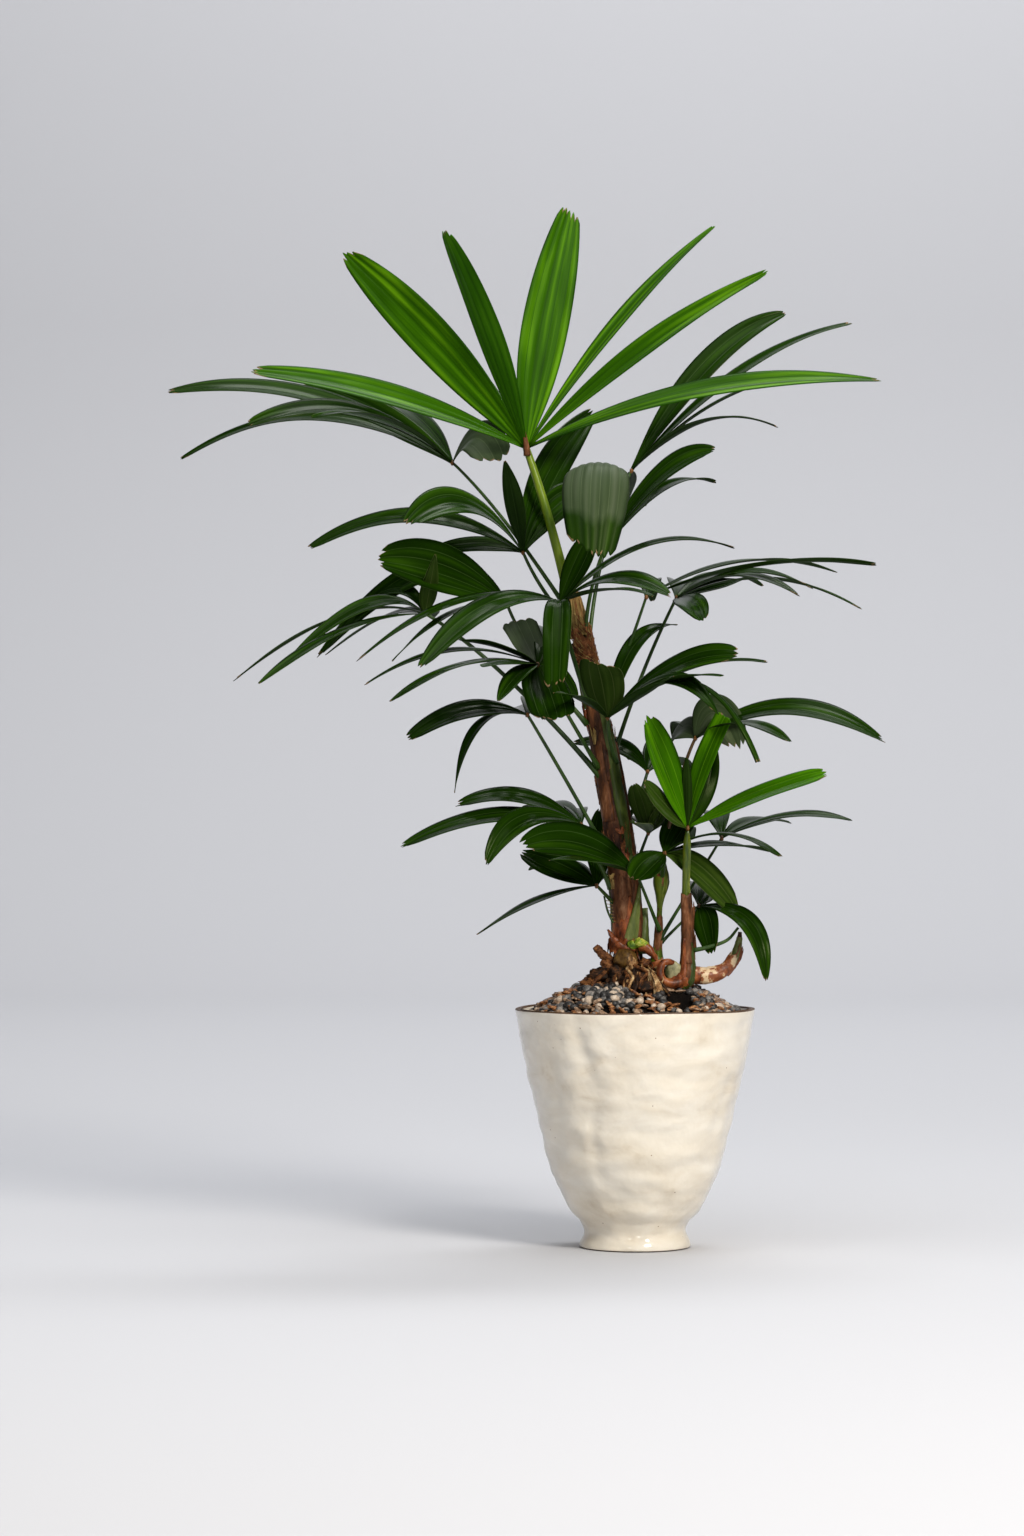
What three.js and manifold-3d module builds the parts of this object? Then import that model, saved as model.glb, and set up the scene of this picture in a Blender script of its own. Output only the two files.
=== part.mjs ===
// A lady palm in a hand-thrown pot. Millimetres, +Z up; the origin is the centre of the pot's underside.
// X runs to the plant's right and the plant's front faces -Y.
//
// The pot holds gravel; the main stem and two suckers rise from a tangle of roots on it. Each leaf is a stalk
// and a fan of leaflets that meet at the leaf's hub. Every leaflet is one arc in an upright plane.
import * as THREE from "three";
import { mergeVertices } from "three/addons/utils/BufferGeometryUtils.js";
import Module from "manifold-3d";

const wasm = await Module();
wasm.setup();

// ---------------------------------------------------------------- driving sizes
const CLEARANCE = 0.3; // between neighbouring solids
const LEAST_KEPT = 0.98; // share of a solid that is left in one piece where its neighbours are cut out of it
const SMALLEST_EDGE = 0.08; // booleans leave shorter ones, which are merged away

const POT_HEIGHT = 215;
const RIM_RADIUS = 107.5;
const FOOT_RADIUS = 50;
const WALL = 6;
const FLOOR = 20;
const FLOOR_RADIUS = 38;
const POT_SIDES = 32;

const SEAT_RADIUS = 36; // the level top of the gravel, which the stem stands on
const SEAT_HEIGHT = 238;
const MOUND = [
  [97.5, 204],
  [98, 212],
  [80, 222],
  [67, 230],
  [53, 235.5],
]; // the gravel's slope up from the pot's wall, as [radius, height]

const STEM_TOP = 590;
const STEM_BASE_RADIUS = 13.5;
const STEM_TIP_RADIUS = 6.5;
const FLARE = 9; // what the root flare adds to the radius at the ground
const FLARE_HEIGHT = 12;

const ROOT_COUNT = 9;
const ROOT_LENGTH = 42;
const ROOT_RADIUS = 4;
const ROOT_HEIGHT = 18; // where the roots leave the stem
const ROOT_CREST = 0.6; // share of a root's length that it takes to turn down
const GOLDEN_ANGLE = 2.4;
const STUBS = [
  [[-36, -8, 270], 5, 4],
  [[-23, -10, 283], 6, 1.5],
  [[14, -10, 270], 8, 4],
]; // tip, radius at the foot, radius at the tip

const HUB_RADIUS = 4; // the small knob where leaflets and stalk meet
const HUB_FLAT = 0.8; // how far out the knob's faces lie, as a share of its radius
const LEAFLET_FOLD = 0.1; // depth of a leaflet's V, as a share of its width
const LEAFLET_THINNEST = 2.4;
const LEAFLET_THICKNESS = 1 / 90; // as a share of its length
const LEAFLET_STATIONS = [0, 0.16, 0.36, 0.6, 0.84, 1]; // along the arc
const LEAFLET_WIDTHS = [0.16, 0.5, 0.88, 1, 0.8, 0.2]; // share of the full width at each station

// The leaves, from the crown down. foot: where the stalk leaves its stem; bow: how far the stalk's middle stands
// off the straight line, where it isn't straight; hub: where the leaflets meet; radius: of the stalk at its foot.
// A leaflet: [reach right, reach away, reach up, arch, width, turn to the front in degrees, place of the knee].
// The arch is how far the middle is lifted, and the knee is the share of the reach that the lift is drawn from.
const LEAVES = [
  {
    name: "frond_01", // the crown's youngest leaf
    foot: [-56, 0, 571],
    bow: [0, 0, 8],
    hub: [-98, 0, 719],
    radius: 3.8,
    leaflets: [
      [-250, -60, 65, 15, 30, 45],
      [-170, 100, 190, 7, 38, 80],
      [-72, -140, 182, 15, 34, 15],
      [42, 120, 233, 18, 40, 15, 0.3],
      [175, 90, 212, 18, 22, 10],
      [215, -70, 152, 15, 32, 45],
      [320, -10, 60, 24, 24, 10],
      [-105, 200, 130, 6, 28, 40],
      [15, 220, 115, 14, 30, 0],
    ],
  },
  {
    name: "frond_02",
    foot: [-60, 5, 572],
    bow: [-4, 0, 13],
    hub: [-165, 45, 709],
    radius: 1.9,
    leaflets: [
      [-260, -20, 62, 31, 26, 10],
      [-185, -90, 26, 33, 26, 10],
      [-255, 60, 5, 43, 24, 5],
      [-145, 140, 85, 9, 28, 40],
      [-65, 190, 72, 9, 24, 20],
      [42, -45, -8, 27, 38, 50],
      [-100, -140, 5, 26, 24, 10],
    ],
  },
  {
    name: "frond_03",
    foot: [-42, 5, 537],
    bow: [-6, 0, 6],
    hub: [-2, 50, 702],
    radius: 1.9,
    leaflets: [
      [145, 60, 150, 28, 26, 40],
      [205, 20, 137, 26, 26, 15],
      [180, -30, 82, 28, 24, 10],
      [130, -90, 32, 27, 22, 5],
      [-15, 160, -5, 20, 26, 20],
    ],
  },
  {
    name: "frond_04",
    foot: [-45, -3, 544],
    bow: [-4, 0, 0],
    hub: [-28, -20, 628],
    radius: 2,
    leaflets: [
      [100, -40, 85, 24, 30, 45],
      [105, 60, 62, 26, 24, 10],
      [40, 150, 45, 26, 26, 10],
      [-13, -110, -10, 80, 56, 0],
    ],
  },
  {
    name: "frond_05",
    foot: [-60, -2, 562],
    bow: [-3, 0, -1],
    hub: [-101, -10, 625],
    radius: 2,
    leaflets: [
      [68, 130, 138, 26, 30, 50, 0.2],
      [70, 60, 55, 21, 30, 45],
      [-16, -150, 72, 6, 22, 0],
      [-105, -100, 15, 42, 30, 30],
      [-195, -20, 0, 33, 26, 15],
      [-60, -170, -10, 12, 26, 10],
    ],
  },
  {
    name: "frond_06",
    foot: [-43, -3, 470],
    bow: [-10, 0, 5],
    hub: [-116, -20, 580],
    radius: 2,
    leaflets: [
      [-115, -60, 35, 12, 44, 75],
      [0, 150, 25, 28, 22, 0],
      [-100, -80, -55, 16, 16, 0],
    ],
  },
  {
    name: "frond_07",
    foot: [-30, -5, 422],
    bow: [-8, 0, 18],
    hub: [-188, -30, 569],
    radius: 2.3,
    leaflets: [
      [5, 120, 30, 28, 20, 20],
      [-100, 40, -40, 36, 22, 30, 0.25],
      [-117, -50, -40, 26, 22, 25, 0.35],
      [-165, -10, -55, 25, 26, 5, 0.4],
      [-145, -90, -65, 17, 20, 5],
      [-95, 110, -35, 14, 22, 20, 0.3],
    ],
  },
  {
    name: "frond_08",
    foot: [-42, -8, 490],
    bow: [-3, -8, 2],
    hub: [-68, -45, 579],
    radius: 2.2,
    leaflets: [
      [-180, -60, -55, 28, 26, 10],
      [-125, -120, -65, 28, 26, 30],
      [-5, -70, -75, 28, 26, 0],
      [100, -70, 0, 21, 28, 25],
      [80, -120, 0, 10, 20, 0, 0.6],
      [160, 60, 50, 29, 24, 5],
      [32, 10, 70, 1, 26, 40],
    ],
  },
  {
    name: "frond_09",
    foot: [-26, 3, 487],
    bow: [0, 0, -3],
    hub: [10, -5, 585],
    radius: 1.8,
    leaflets: [
      [205, -60, 26, 16, 24, 0],
      [180, 90, 25, 23, 24, 0],
      [10, 150, 0, 20, 22, 0],
    ],
  },
  {
    name: "frond_10",
    foot: [-21, 3, 436],
    bow: [-2, 0, 4],
    hub: [38, 20, 585],
    radius: 2,
    leaflets: [
      [65, 70, 20, 5, 28, 20],
      [125, -20, 6, 22, 26, 10],
      [110, -70, -3, 22, 26, 10],
      [170, 20, -10, 24, 24, 0],
      [20, -110, -25, 8, 26, 20],
      [10, 140, 5, 18, 22, 10],
      [85, 120, 15, 18, 22, 10],
    ],
  },
  {
    name: "frond_11",
    foot: [-33, -8, 431],
    bow: [-1, -6, 2],
    hub: [-88, -60, 523],
    radius: 2,
    leaflets: [
      [-25, -120, 40, 0, 34, 0],
      [15, 110, 20, 24, 18, 10],
      [-70, -60, 20, 6, 22, 5],
      [-155, -20, -20, 23, 22, 5],
      [-130, -70, -35, 18, 22, 5],
      [-50, -150, -5, 3, 20, 5],
      [-90, -100, -10, 8, 22, 5],
      [-35, -130, -35, 9, 20, 5],
      [15, -60, -50, 2, 42, 0],
      [38, 25, -38, 12, 30, 45, 0.65],
    ],
  },
  {
    name: "frond_12",
    foot: [-21, -5, 347],
    bow: [-5, 0, 10],
    hub: [-97, -20, 479],
    radius: 2,
    leaflets: [
      [-110, -40, -25, 17, 30, 30],
      [-65, -25, -70, 38, 16, 10, 0.85],
      [15, 130, -5, 18, 24, 10],
      [-35, 170, -15, 16, 26, 20],
    ],
  },
  {
    name: "frond_13",
    foot: [-17, -8, 436],
    bow: [-2, -3, 0],
    hub: [-25, -30, 476],
    radius: 2,
    leaflets: [
      [-10, -60, 50, 7, 38, 0],
      [-50, -140, 20, 7, 16, 5],
      [65, 70, 85, 36, 20, 10, 0.25],
      [115, -60, 55, 19, 30, 40],
      [145, 20, 50, 20, 22, 5],
      [55, -130, 35, 4, 20, 5],
      [100, -100, 35, 15, 22, 5],
      [95, -90, 0, 35, 22, 30, 0.6],
      [130, -75, -40, 53, 18, 5, 0.65],
    ],
  },
  {
    name: "frond_14",
    foot: [24, 8, 339],
    bow: [-1, 0, 12],
    hub: [54, -10, 458],
    radius: 2,
    leaflets: [
      [170, -30, -5, 31, 32, 30],
      [80, -100, -5, 17, 22, 10],
      [-25, 40, -10, 14, 28, 50],
      [35, -90, -15, 28, 32, 30],
      [-15, 130, 0, 18, 22, 10],
    ],
  },
  {
    name: "frond_15",
    foot: [-8, 5, 382],
    bow: [2, 0, 0],
    hub: [12, 25, 428],
    radius: 2,
    leaflets: [
      [-70, 15, 25, 15, 26, 30, 0.3],
      [20, 60, 35, 3, 24, 30],
      [-10, 150, 10, 12, 24, 10],
      [45, 130, 0, 16, 24, 10],
    ],
  },
  {
    name: "frond_16", // the bright crown of the nearer sucker, on the tip of its cane
    hub: [46, -35, 378],
    leaflets: [
      [-35, -30, 100, 9, 34, 80, 0.4],
      [5, 130, 45, 14, 24, 0],
      [30, 60, 105, 1, 30, 60],
      [30, 100, 70, 2, 28, 30],
      [125, -30, 50, 6, 30, 30],
      [-40, -80, 40, 3, 26, 30],
    ],
  },
  {
    name: "frond_17",
    foot: [24, 5, 326],
    hub: [26, -20, 355],
    radius: 2.4,
    leaflets: [
      [22, 40, 35, 4, 26, 20],
      [105, -30, -5, 21, 22, 0],
      [100, 30, 0, 9, 26, 10],
      [-30, -50, -25, 5, 26, 30],
      [68, -60, -55, 12, 24, 25],
      [30, 130, 10, 16, 24, 0],
    ],
  },
  {
    name: "frond_18",
    foot: [22, 3, 276],
    hub: [79, 20, 368],
    radius: 1.7,
    leaflets: [
      [120, -10, 15, 14, 26, 10],
      [70, 110, 12, 10, 24, 10],
      [-5, 120, 15, 18, 24, 10],
    ],
  },
  {
    name: "frond_19",
    foot: [-4, 5, 330],
    hub: [12, 0, 373],
    radius: 1.8,
    leaflets: [
      [-15, -60, 45, 3, 22, 10],
      [10, 60, 40, 3, 34, 10],
      [20, -40, 30, 10, 26, 40],
      [-15, -100, 10, 4, 20, 10],
      [-20, 120, 0, 16, 22, 0],
    ],
  },
  {
    name: "frond_20",
    foot: [24, 5, 274],
    hub: [58, 12, 307],
    radius: 1.5,
    leaflets: [
      [15, 60, 15, 1, 18, 10],
      [-5, 60, -15, 2, 18, 10],
      [10, -40, -45, 9, 24, 40],
      [57, -60, -67, 37, 22, 25, 1],
      [0, 120, 10, 16, 20, 0],
    ],
  },
  {
    name: "frond_21",
    foot: [-22, -5, 323],
    hub: [-49, -30, 381],
    radius: 2.2,
    leaflets: [
      [-115, -20, 15, 19, 30, 30],
      [-160, -60, -15, 18, 30, 25],
      [-85, -40, -35, 24, 26, 40, 0.8],
      [-10, 130, -5, 18, 22, 0],
      [-55, 150, 5, 16, 26, 10],
    ],
  },
  {
    name: "frond_22",
    foot: [22, 0, 285],
    hub: [1, -32, 336],
    radius: 1.8,
    leaflets: [
      [-105, -60, 25, 18, 40, 65],
      [-80, -110, 15, 7, 18, 10],
    ],
  },
  {
    name: "frond_23",
    foot: [-17, -3, 307],
    hub: [-35, -20, 326],
    radius: 2,
    leaflets: [
      [-110, -40, -45, 10, 24, 5],
      [-70, 60, 30, 2, 28, 40],
      [5, 60, 70, -1, 24, 30],
      [-60, 140, 10, 14, 24, 10],
      [20, 120, 0, 16, 22, 0],
    ],
  },
];

// ---------------------------------------------------------------- solids
const UP = new THREE.Vector3(0, 0, 1);
const vector = (values) => new THREE.Vector3(...values);

// A closed geometry as a manifold-3d solid.
function solidOf(geometry) {
  const bare = geometry.clone();
  bare.deleteAttribute("normal");
  bare.deleteAttribute("uv");
  const merged = mergeVertices(bare, 1e-4);
  return new wasm.Manifold(
    new wasm.Mesh({
      numProp: 3,
      vertProperties: merged.attributes.position.array,
      triVerts: new Uint32Array(merged.index.array),
    }),
  );
}

function geometryOf(solid) {
  const { numProp, vertProperties, triVerts } = solid.getMesh();
  const corners = new THREE.InterleavedBuffer(vertProperties, numProp);
  const geometry = new THREE.BufferGeometry();
  geometry.setAttribute("position", new THREE.InterleavedBufferAttribute(corners, 3, 0));
  geometry.setIndex(new THREE.BufferAttribute(triVerts, 1));
  const flat = geometry.toNonIndexed();
  flat.computeVertexNormals();
  return flat;
}

// Rings of points joined side by side, with a flat cap on each end.
function loft(rings) {
  const count = rings[0].length;
  const positions = rings.flat().flatMap((point) => point.toArray());
  const faces = [];
  for (let ring = 0; ring + 1 < rings.length; ring++) {
    for (let i = 0; i < count; i++) {
      const a = ring * count + i;
      const b = ring * count + ((i + 1) % count);
      faces.push(a, b, b + count, a, b + count, a + count);
    }
  }
  const last = (rings.length - 1) * count;
  for (let i = 1; i + 1 < count; i++) {
    faces.push(0, i + 1, i, last, last + i, last + i + 1);
  }
  const geometry = new THREE.BufferGeometry();
  geometry.setAttribute("position", new THREE.Float32BufferAttribute(positions, 3));
  geometry.setIndex(faces);
  return solidOf(geometry);
}

// A round limb along a curve, its radius a function of the share of the way; grow makes it larger all round.
function limbSolid({ curve, radiusAt, sides = 6, steps = 7 }, grow = 0) {
  const frames = curve.computeFrenetFrames(steps, false);
  const rings = [];
  for (let step = 0; step <= steps; step++) {
    const share = step / steps;
    const centre = curve.getPoint(share);
    if (step === 0) centre.addScaledVector(frames.tangents[0], -grow);
    if (step === steps) centre.addScaledVector(frames.tangents[steps], grow);
    const ring = [];
    for (let i = 0; i < sides; i++) {
      const angle = (2 * Math.PI * i) / sides;
      const spoke = frames.normals[step].clone().multiplyScalar(Math.cos(angle));
      spoke.addScaledVector(frames.binormals[step], Math.sin(angle));
      ring.push(centre.clone().addScaledVector(spoke, radiusAt(share) + grow));
    }
    rings.push(ring);
  }
  return loft(rings);
}

function turned(profile) {
  const points = profile.map(([radius, height]) => new THREE.Vector2(radius, height));
  return solidOf(new THREE.LatheGeometry(points, POT_SIDES).rotateX(Math.PI / 2));
}

// The solid with every neighbour cut away. Only scraps may come loose: a limb cut in two has a mistaken route.
function clearOf(solid, neighbours) {
  const rough = neighbours.reduce((rest, neighbour) => rest.subtract(neighbour), solid);
  const cut = rough.simplify(SMALLEST_EDGE);
  const bodies = cut.decompose().sort((a, b) => b.volume() - a.volume());
  if (bodies[0].volume() < LEAST_KEPT * cut.volume()) throw new Error("a neighbour cuts this solid in two");
  return bodies[0];
}

// ---------------------------------------------------------------- pot and gravel
// The outside flares in one sweep from a narrow neck above the foot to the rim.
const POT_OUTSIDE = [
  [FOOT_RADIUS - 3, 0],
  [FOOT_RADIUS, 1.4],
  [49.3, 6],
  [45.7, 15],
  [49.5, 24],
  [57.6, 33],
  [67.5, 51],
  [75.6, 69],
  [85.5, 105],
  [91.4, 132],
  [101.7, 177],
  [RIM_RADIUS, POT_HEIGHT - 3],
  [RIM_RADIUS - 1, POT_HEIGHT],
];
// The hollow follows every second point of the outside.
const POT_INSIDE = [5, 7, 9, 11].map((i) => [POT_OUTSIDE[i][0] - WALL, POT_OUTSIDE[i][1]]);

function potSolid() {
  const lip = [RIM_RADIUS - WALL + 1, POT_HEIGHT];
  const hollow = POT_INSIDE.slice().reverse();
  return turned([[0, 0], ...POT_OUTSIDE, lip, ...hollow, [FLOOR_RADIUS, FLOOR], [0, FLOOR]]);
}

function gravelSolid(grow = 0) {
  const wall = POT_INSIDE.map(([radius, height]) => [radius - CLEARANCE, height]);
  const slope = [...MOUND, [SEAT_RADIUS, SEAT_HEIGHT], [0, SEAT_HEIGHT]];
  const top = slope.map(([radius, height]) => [radius, height + grow]);
  const bottom = FLOOR + CLEARANCE;
  return turned([[0, bottom], [FLOOR_RADIUS - CLEARANCE, bottom], ...wall, ...top]);
}

// ---------------------------------------------------------------- stems
const GROUND = SEAT_HEIGHT + CLEARANCE;
const CUT_DEPTH = 6; // stems are drawn this far below ground and cut off level with it

const mainStem = {
  curve: new THREE.CubicBezierCurve3(
    vector([-7, 0, GROUND - CUT_DEPTH]),
    vector([-3, 0, 330]),
    vector([-25, 0, 450]),
    vector([-58, 0, STEM_TOP]),
  ),
  radiusAt: (share) => {
    const taper = THREE.MathUtils.lerp(STEM_BASE_RADIUS, STEM_TIP_RADIUS, share ** 3);
    return taper + FLARE * Math.exp((-share * (STEM_TOP - GROUND)) / FLARE_HEIGHT);
  },
  sides: 12,
  steps: 22,
};

// Roots that spread from the stem's foot over the gravel, and the stubs of old sheaths above them.
function footLimbs() {
  const heart = vector([-6, -2, GROUND + ROOT_HEIGHT]);
  const roots = Array.from({ length: ROOT_COUNT }, (_, i) => {
    const angle = i * GOLDEN_ANGLE;
    const length = ROOT_LENGTH * (0.8 + 0.2 * Math.cos(3 * i));
    const outward = vector([Math.cos(angle), Math.sin(angle), 0]);
    const crest = heart.clone().addScaledVector(outward, length * ROOT_CREST);
    crest.addScaledVector(UP, -ROOT_HEIGHT / 3);
    const end = heart.clone().addScaledVector(outward, length);
    end.addScaledVector(UP, 1 - ROOT_HEIGHT);
    return {
      curve: new THREE.QuadraticBezierCurve3(heart, crest, end),
      radiusAt: (share) => THREE.MathUtils.lerp(ROOT_RADIUS, ROOT_RADIUS / 3, share),
      steps: 5,
    };
  });
  const stubs = STUBS.map(([tip, thick, thin]) => ({
    curve: new THREE.LineCurve3(heart.clone().lerp(vector(tip), 0.1), vector(tip)),
    radiusAt: (share) => THREE.MathUtils.lerp(thick, thin, share),
    steps: 1,
  }));
  return [...roots, ...stubs];
}

const suckerA = {
  curve: new THREE.CatmullRomCurve3(
    [
      [14, -14, 258],
      [24, -20, 243],
      [45, -24, 243],
      [46, -24, 275],
      [45, -26, 325],
      [46, -34, 378 - HUB_RADIUS - CLEARANCE],
    ].map(vector),
  ),
  radiusAt: (share) => 4 + 4.2 * Math.exp(-(((share - 0.12) / 0.22) ** 2)),
  sides: 8,
  steps: 16,
};

const suckerB = {
  curve: new THREE.QuadraticBezierCurve3(
    vector([20, 4, GROUND + ROOT_HEIGHT]),
    vector([22, 5, 290]),
    vector([24, 5, 326]),
  ),
  radiusAt: (share) => 3.4 + 2.2 * share ** 2,
  sides: 8,
  steps: 8,
};

const horn = {
  curve: new THREE.CubicBezierCurve3(
    vector([49, -21, 246]),
    vector([84, -14, 238]),
    vector([92, -12, 262]),
    vector([94, -12, 284]),
  ),
  radiusAt: (share) => 1.4 + 7.2 * (1 - share) ** 0.8,
  sides: 8,
  steps: 8,
};

// ---------------------------------------------------------------- leaves
function arc(start, [right, away, up, arch, , , knee = 0.5]) {
  const reach = vector([right, away, up]);
  const crest = start.clone().addScaledVector(reach, knee).addScaledVector(UP, 2 * arch);
  return new THREE.QuadraticBezierCurve3(start, crest, start.clone().add(reach));
}

// One leaflet: a shallow V in section, its upper face turned to the front by an angle about the arc.
function leafletSolid(hub, leaflet) {
  const [right, away, up, , width, turn] = leaflet;
  const reach = vector([right, away, up]);
  const curve = arc(hub, leaflet);
  const thickness = Math.max(LEAFLET_THINNEST, curve.getLength() * LEAFLET_THICKNESS);
  const level = reach.clone().cross(UP).normalize();
  const front = level.clone().multiplyScalar(level.y > 0 ? -1 : 1);
  const angle = THREE.MathUtils.degToRad(turn);
  const rings = LEAFLET_STATIONS.map((share, station) => {
    const centre = curve.getPoint(share);
    const along = curve.getTangent(share);
    const face = level.clone().cross(along).multiplyScalar(Math.cos(angle));
    face.addScaledVector(front, Math.sin(angle));
    const across = along.clone().cross(face).normalize();
    const half = (width * LEAFLET_WIDTHS[station]) / 2;
    const dip = -2 * half * LEAFLET_FOLD;
    const at = (sideways, height) =>
      centre.clone().addScaledVector(across, sideways).addScaledVector(face, height);
    return [at(-half, 0), at(0, dip + thickness / 2), at(half, 0), at(0, dip - thickness / 2)];
  });
  return loft(rings);
}

function bladeSolid(leaf) {
  const hub = vector(leaf.hub);
  const knob = new THREE.IcosahedronGeometry(HUB_RADIUS, 0).translate(...leaf.hub);
  return leaf.leaflets.reduce((blade, leaflet) => blade.add(leafletSolid(hub, leaflet)), solidOf(knob));
}

function stalkLimb({ foot, bow = [0, 0, 0], hub, radius }) {
  const start = vector(foot);
  const middle = start.clone().add(vector(hub)).multiplyScalar(0.5).add(vector(bow));
  const crest = middle.clone().multiplyScalar(2).sub(start.clone().add(vector(hub)).multiplyScalar(0.5));
  const inward = crest.clone().sub(vector(hub)).normalize();
  const end = vector(hub).addScaledVector(inward, HUB_FLAT * HUB_RADIUS + CLEARANCE);
  return {
    curve: new THREE.QuadraticBezierCurve3(start, crest, end),
    radiusAt: (share) => radius * (1 - 0.3 * share),
    sides: 5,
    steps: 6,
  };
}

// ---------------------------------------------------------------- assembly
const POT_LOOK = { color: 0xd8d2c2, roughness: 0.25 };
const GRAVEL_LOOK = { color: 0x4a4744, roughness: 0.9 };
const STEM_LOOK = { color: 0x5a3d26, roughness: 0.8 };
const NEAR_SUCKER_LOOK = { color: 0x5d6b2c, roughness: 0.6 };
const FAR_SUCKER_LOOK = { color: 0x5d4a2c, roughness: 0.7 };
const HORN_LOOK = { color: 0x7a4a28, roughness: 0.7 };
const STALK_LOOK = { color: 0x55702c, roughness: 0.5 };
const BLADE_LOOK = { color: 0x3c6424, roughness: 0.4 };

const group = new THREE.Group();
function addNode(name, solid, look) {
  const material = new THREE.MeshStandardMaterial({ ...look, metalness: 0 });
  const mesh = new THREE.Mesh(geometryOf(solid), material);
  mesh.name = name;
  group.add(mesh);
}

const grown = (limb) => limbSolid(limb, CLEARANCE);
addNode("pot", potSolid(), POT_LOOK);
addNode("gravel", gravelSolid(), GRAVEL_LOOK);

// What is already in place, each solid grown by the clearance; every new piece is cut clear of it.
const taken = [gravelSolid(CLEARANCE)];
function addLimb(name, limb, look) {
  addNode(name, clearOf(limbSolid(limb), taken), look);
  taken.push(grown(limb));
}

const stemLimbs = [mainStem, ...footLimbs()];
const joined = (solids) => solids.reduce((all, solid) => all.add(solid));
addNode("stem", clearOf(joined(stemLimbs.map((limb) => limbSolid(limb))), taken), STEM_LOOK);
taken.push(joined(stemLimbs.map(grown)));
addLimb("sucker_near", suckerA, NEAR_SUCKER_LOOK);
addLimb("sucker_far", suckerB, FAR_SUCKER_LOOK);
addLimb("horn_shoot", horn, HORN_LOOK);

for (const leaf of LEAVES) {
  if (leaf.foot) addLimb(`${leaf.name}_stalk`, stalkLimb(leaf), STALK_LOOK);
}
for (const leaf of LEAVES) {
  addNode(`${leaf.name}_blade`, clearOf(bladeSolid(leaf), taken), BLADE_LOOK);
}

export default group;
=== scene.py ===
"""A lady palm in a hand-thrown pot: every surface that shows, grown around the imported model.

Lengths are millimetres in the model's frame, X to the plant's right, -Y to its front, +Z up, and place()
turns them into metres. Angles round a cane, called turns, run from its front to its right, in degrees in the
tables.
"""

import math
import random

import bmesh
import bpy
from mathutils import Matrix, Vector, noise


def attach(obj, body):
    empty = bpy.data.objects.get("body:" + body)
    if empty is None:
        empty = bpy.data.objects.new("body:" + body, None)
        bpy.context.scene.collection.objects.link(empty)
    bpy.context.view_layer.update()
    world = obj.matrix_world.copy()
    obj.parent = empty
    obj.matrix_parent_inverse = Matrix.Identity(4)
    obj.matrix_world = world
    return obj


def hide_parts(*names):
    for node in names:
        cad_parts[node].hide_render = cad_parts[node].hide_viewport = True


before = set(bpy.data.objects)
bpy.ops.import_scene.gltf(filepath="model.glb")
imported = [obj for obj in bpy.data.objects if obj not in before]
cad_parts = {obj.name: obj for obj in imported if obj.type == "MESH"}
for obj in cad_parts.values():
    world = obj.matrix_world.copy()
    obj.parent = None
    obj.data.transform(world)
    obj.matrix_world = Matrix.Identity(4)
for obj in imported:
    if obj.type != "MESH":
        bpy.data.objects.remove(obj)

MM = 0.001
UP = Vector((0, 0, 1))
FRONT = Vector((0, -1, 0))
GOLDEN_ANGLE = 2.4
NUDGE = 0.01  # the share of a curve's length over which its direction is measured
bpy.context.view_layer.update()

# ---------------------------------------------------------------- driving sizes
POT_HEIGHT = 215
RIM_RADIUS = 107.5
FOOT_RADIUS = 50
WALL = 6
POT_OUTSIDE = [
    (FOOT_RADIUS - 3, 0), (FOOT_RADIUS, 1.4), (49.3, 6), (45.7, 15), (49.5, 24), (57.6, 33), (67.5, 51),
    (75.6, 69), (85.5, 105), (91.4, 132), (101.7, 177), (RIM_RADIUS, POT_HEIGHT - 3),
    (RIM_RADIUS - 1, POT_HEIGHT),
]  # radius, height
POT_INSIDE = [(RIM_RADIUS - WALL + 1, POT_HEIGHT), (RIM_RADIUS - WALL, POT_HEIGHT - 4), (90.5, 160)]
HIDDEN_FLOOR = 158  # where the inside closes, under the soil

GRAVEL_SLOPE = [(98, 208), (80, 219), (67, 227), (53, 233), (36, 237), (0, 240)]  # radius, height
GROUND = 238.3
ROOT_HEIGHT = 18

# ---------------------------------------------------------------- camera and light
CAMERA_PLACE = (-110.7, -4100, 431)
CAMERA_LENS = 106.77
SENSOR_WIDTH = 36
FAR_CLIP = 50  # metres
SKY_COLOUR = (0.90, 0.93, 1, 1)
SKY_STRENGTH = 0.15
SOFTBOXES = [  # name, place and aim in metres, width in metres, watts, tint
    ("key", (1.35, -2.45, 2.1), (-0.05, 0, 0.5), 0.9, 98, (1, 0.955, 0.88)),
    ("window", (-0.6, -2.9, 1.5), (-0.05, 0, 0.4), 0.4, 5, (1, 0.97, 0.92)),
    ("overhead", (-0.2, -0.5, 2.5), (-0.1, 0, 0.5), 1.6, 30, (0.93, 0.96, 1)),
    ("fill", (-2.2, -1.6, 1.0), (-0.1, 0, 0.5), 1.6, 0.8, (0.93, 0.96, 1)),
    ("glints", (0.15, -2.6, 0.16), (0, 0, 0.10), 0.2, 3, (1, 0.99, 0.96)),
    ("wall_wash", (0.8, 2.4, 5.6), (0, 5.8, 1.2), 3.0, 290, (0.98, 0.99, 1)),
]


def place(right, away, up):
    """A point of the tables, in metres."""
    return Vector((right, away, up)) * MM


def add_camera():
    camera = bpy.data.objects.new("camera", bpy.data.cameras.new("camera"))
    camera.data.lens = CAMERA_LENS
    camera.data.sensor_width = SENSOR_WIDTH
    camera.data.clip_end = FAR_CLIP
    camera.location = place(*CAMERA_PLACE)
    camera.rotation_euler = (math.radians(90), 0, 0)
    bpy.context.scene.collection.objects.link(camera)
    bpy.context.scene.camera = camera


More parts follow.
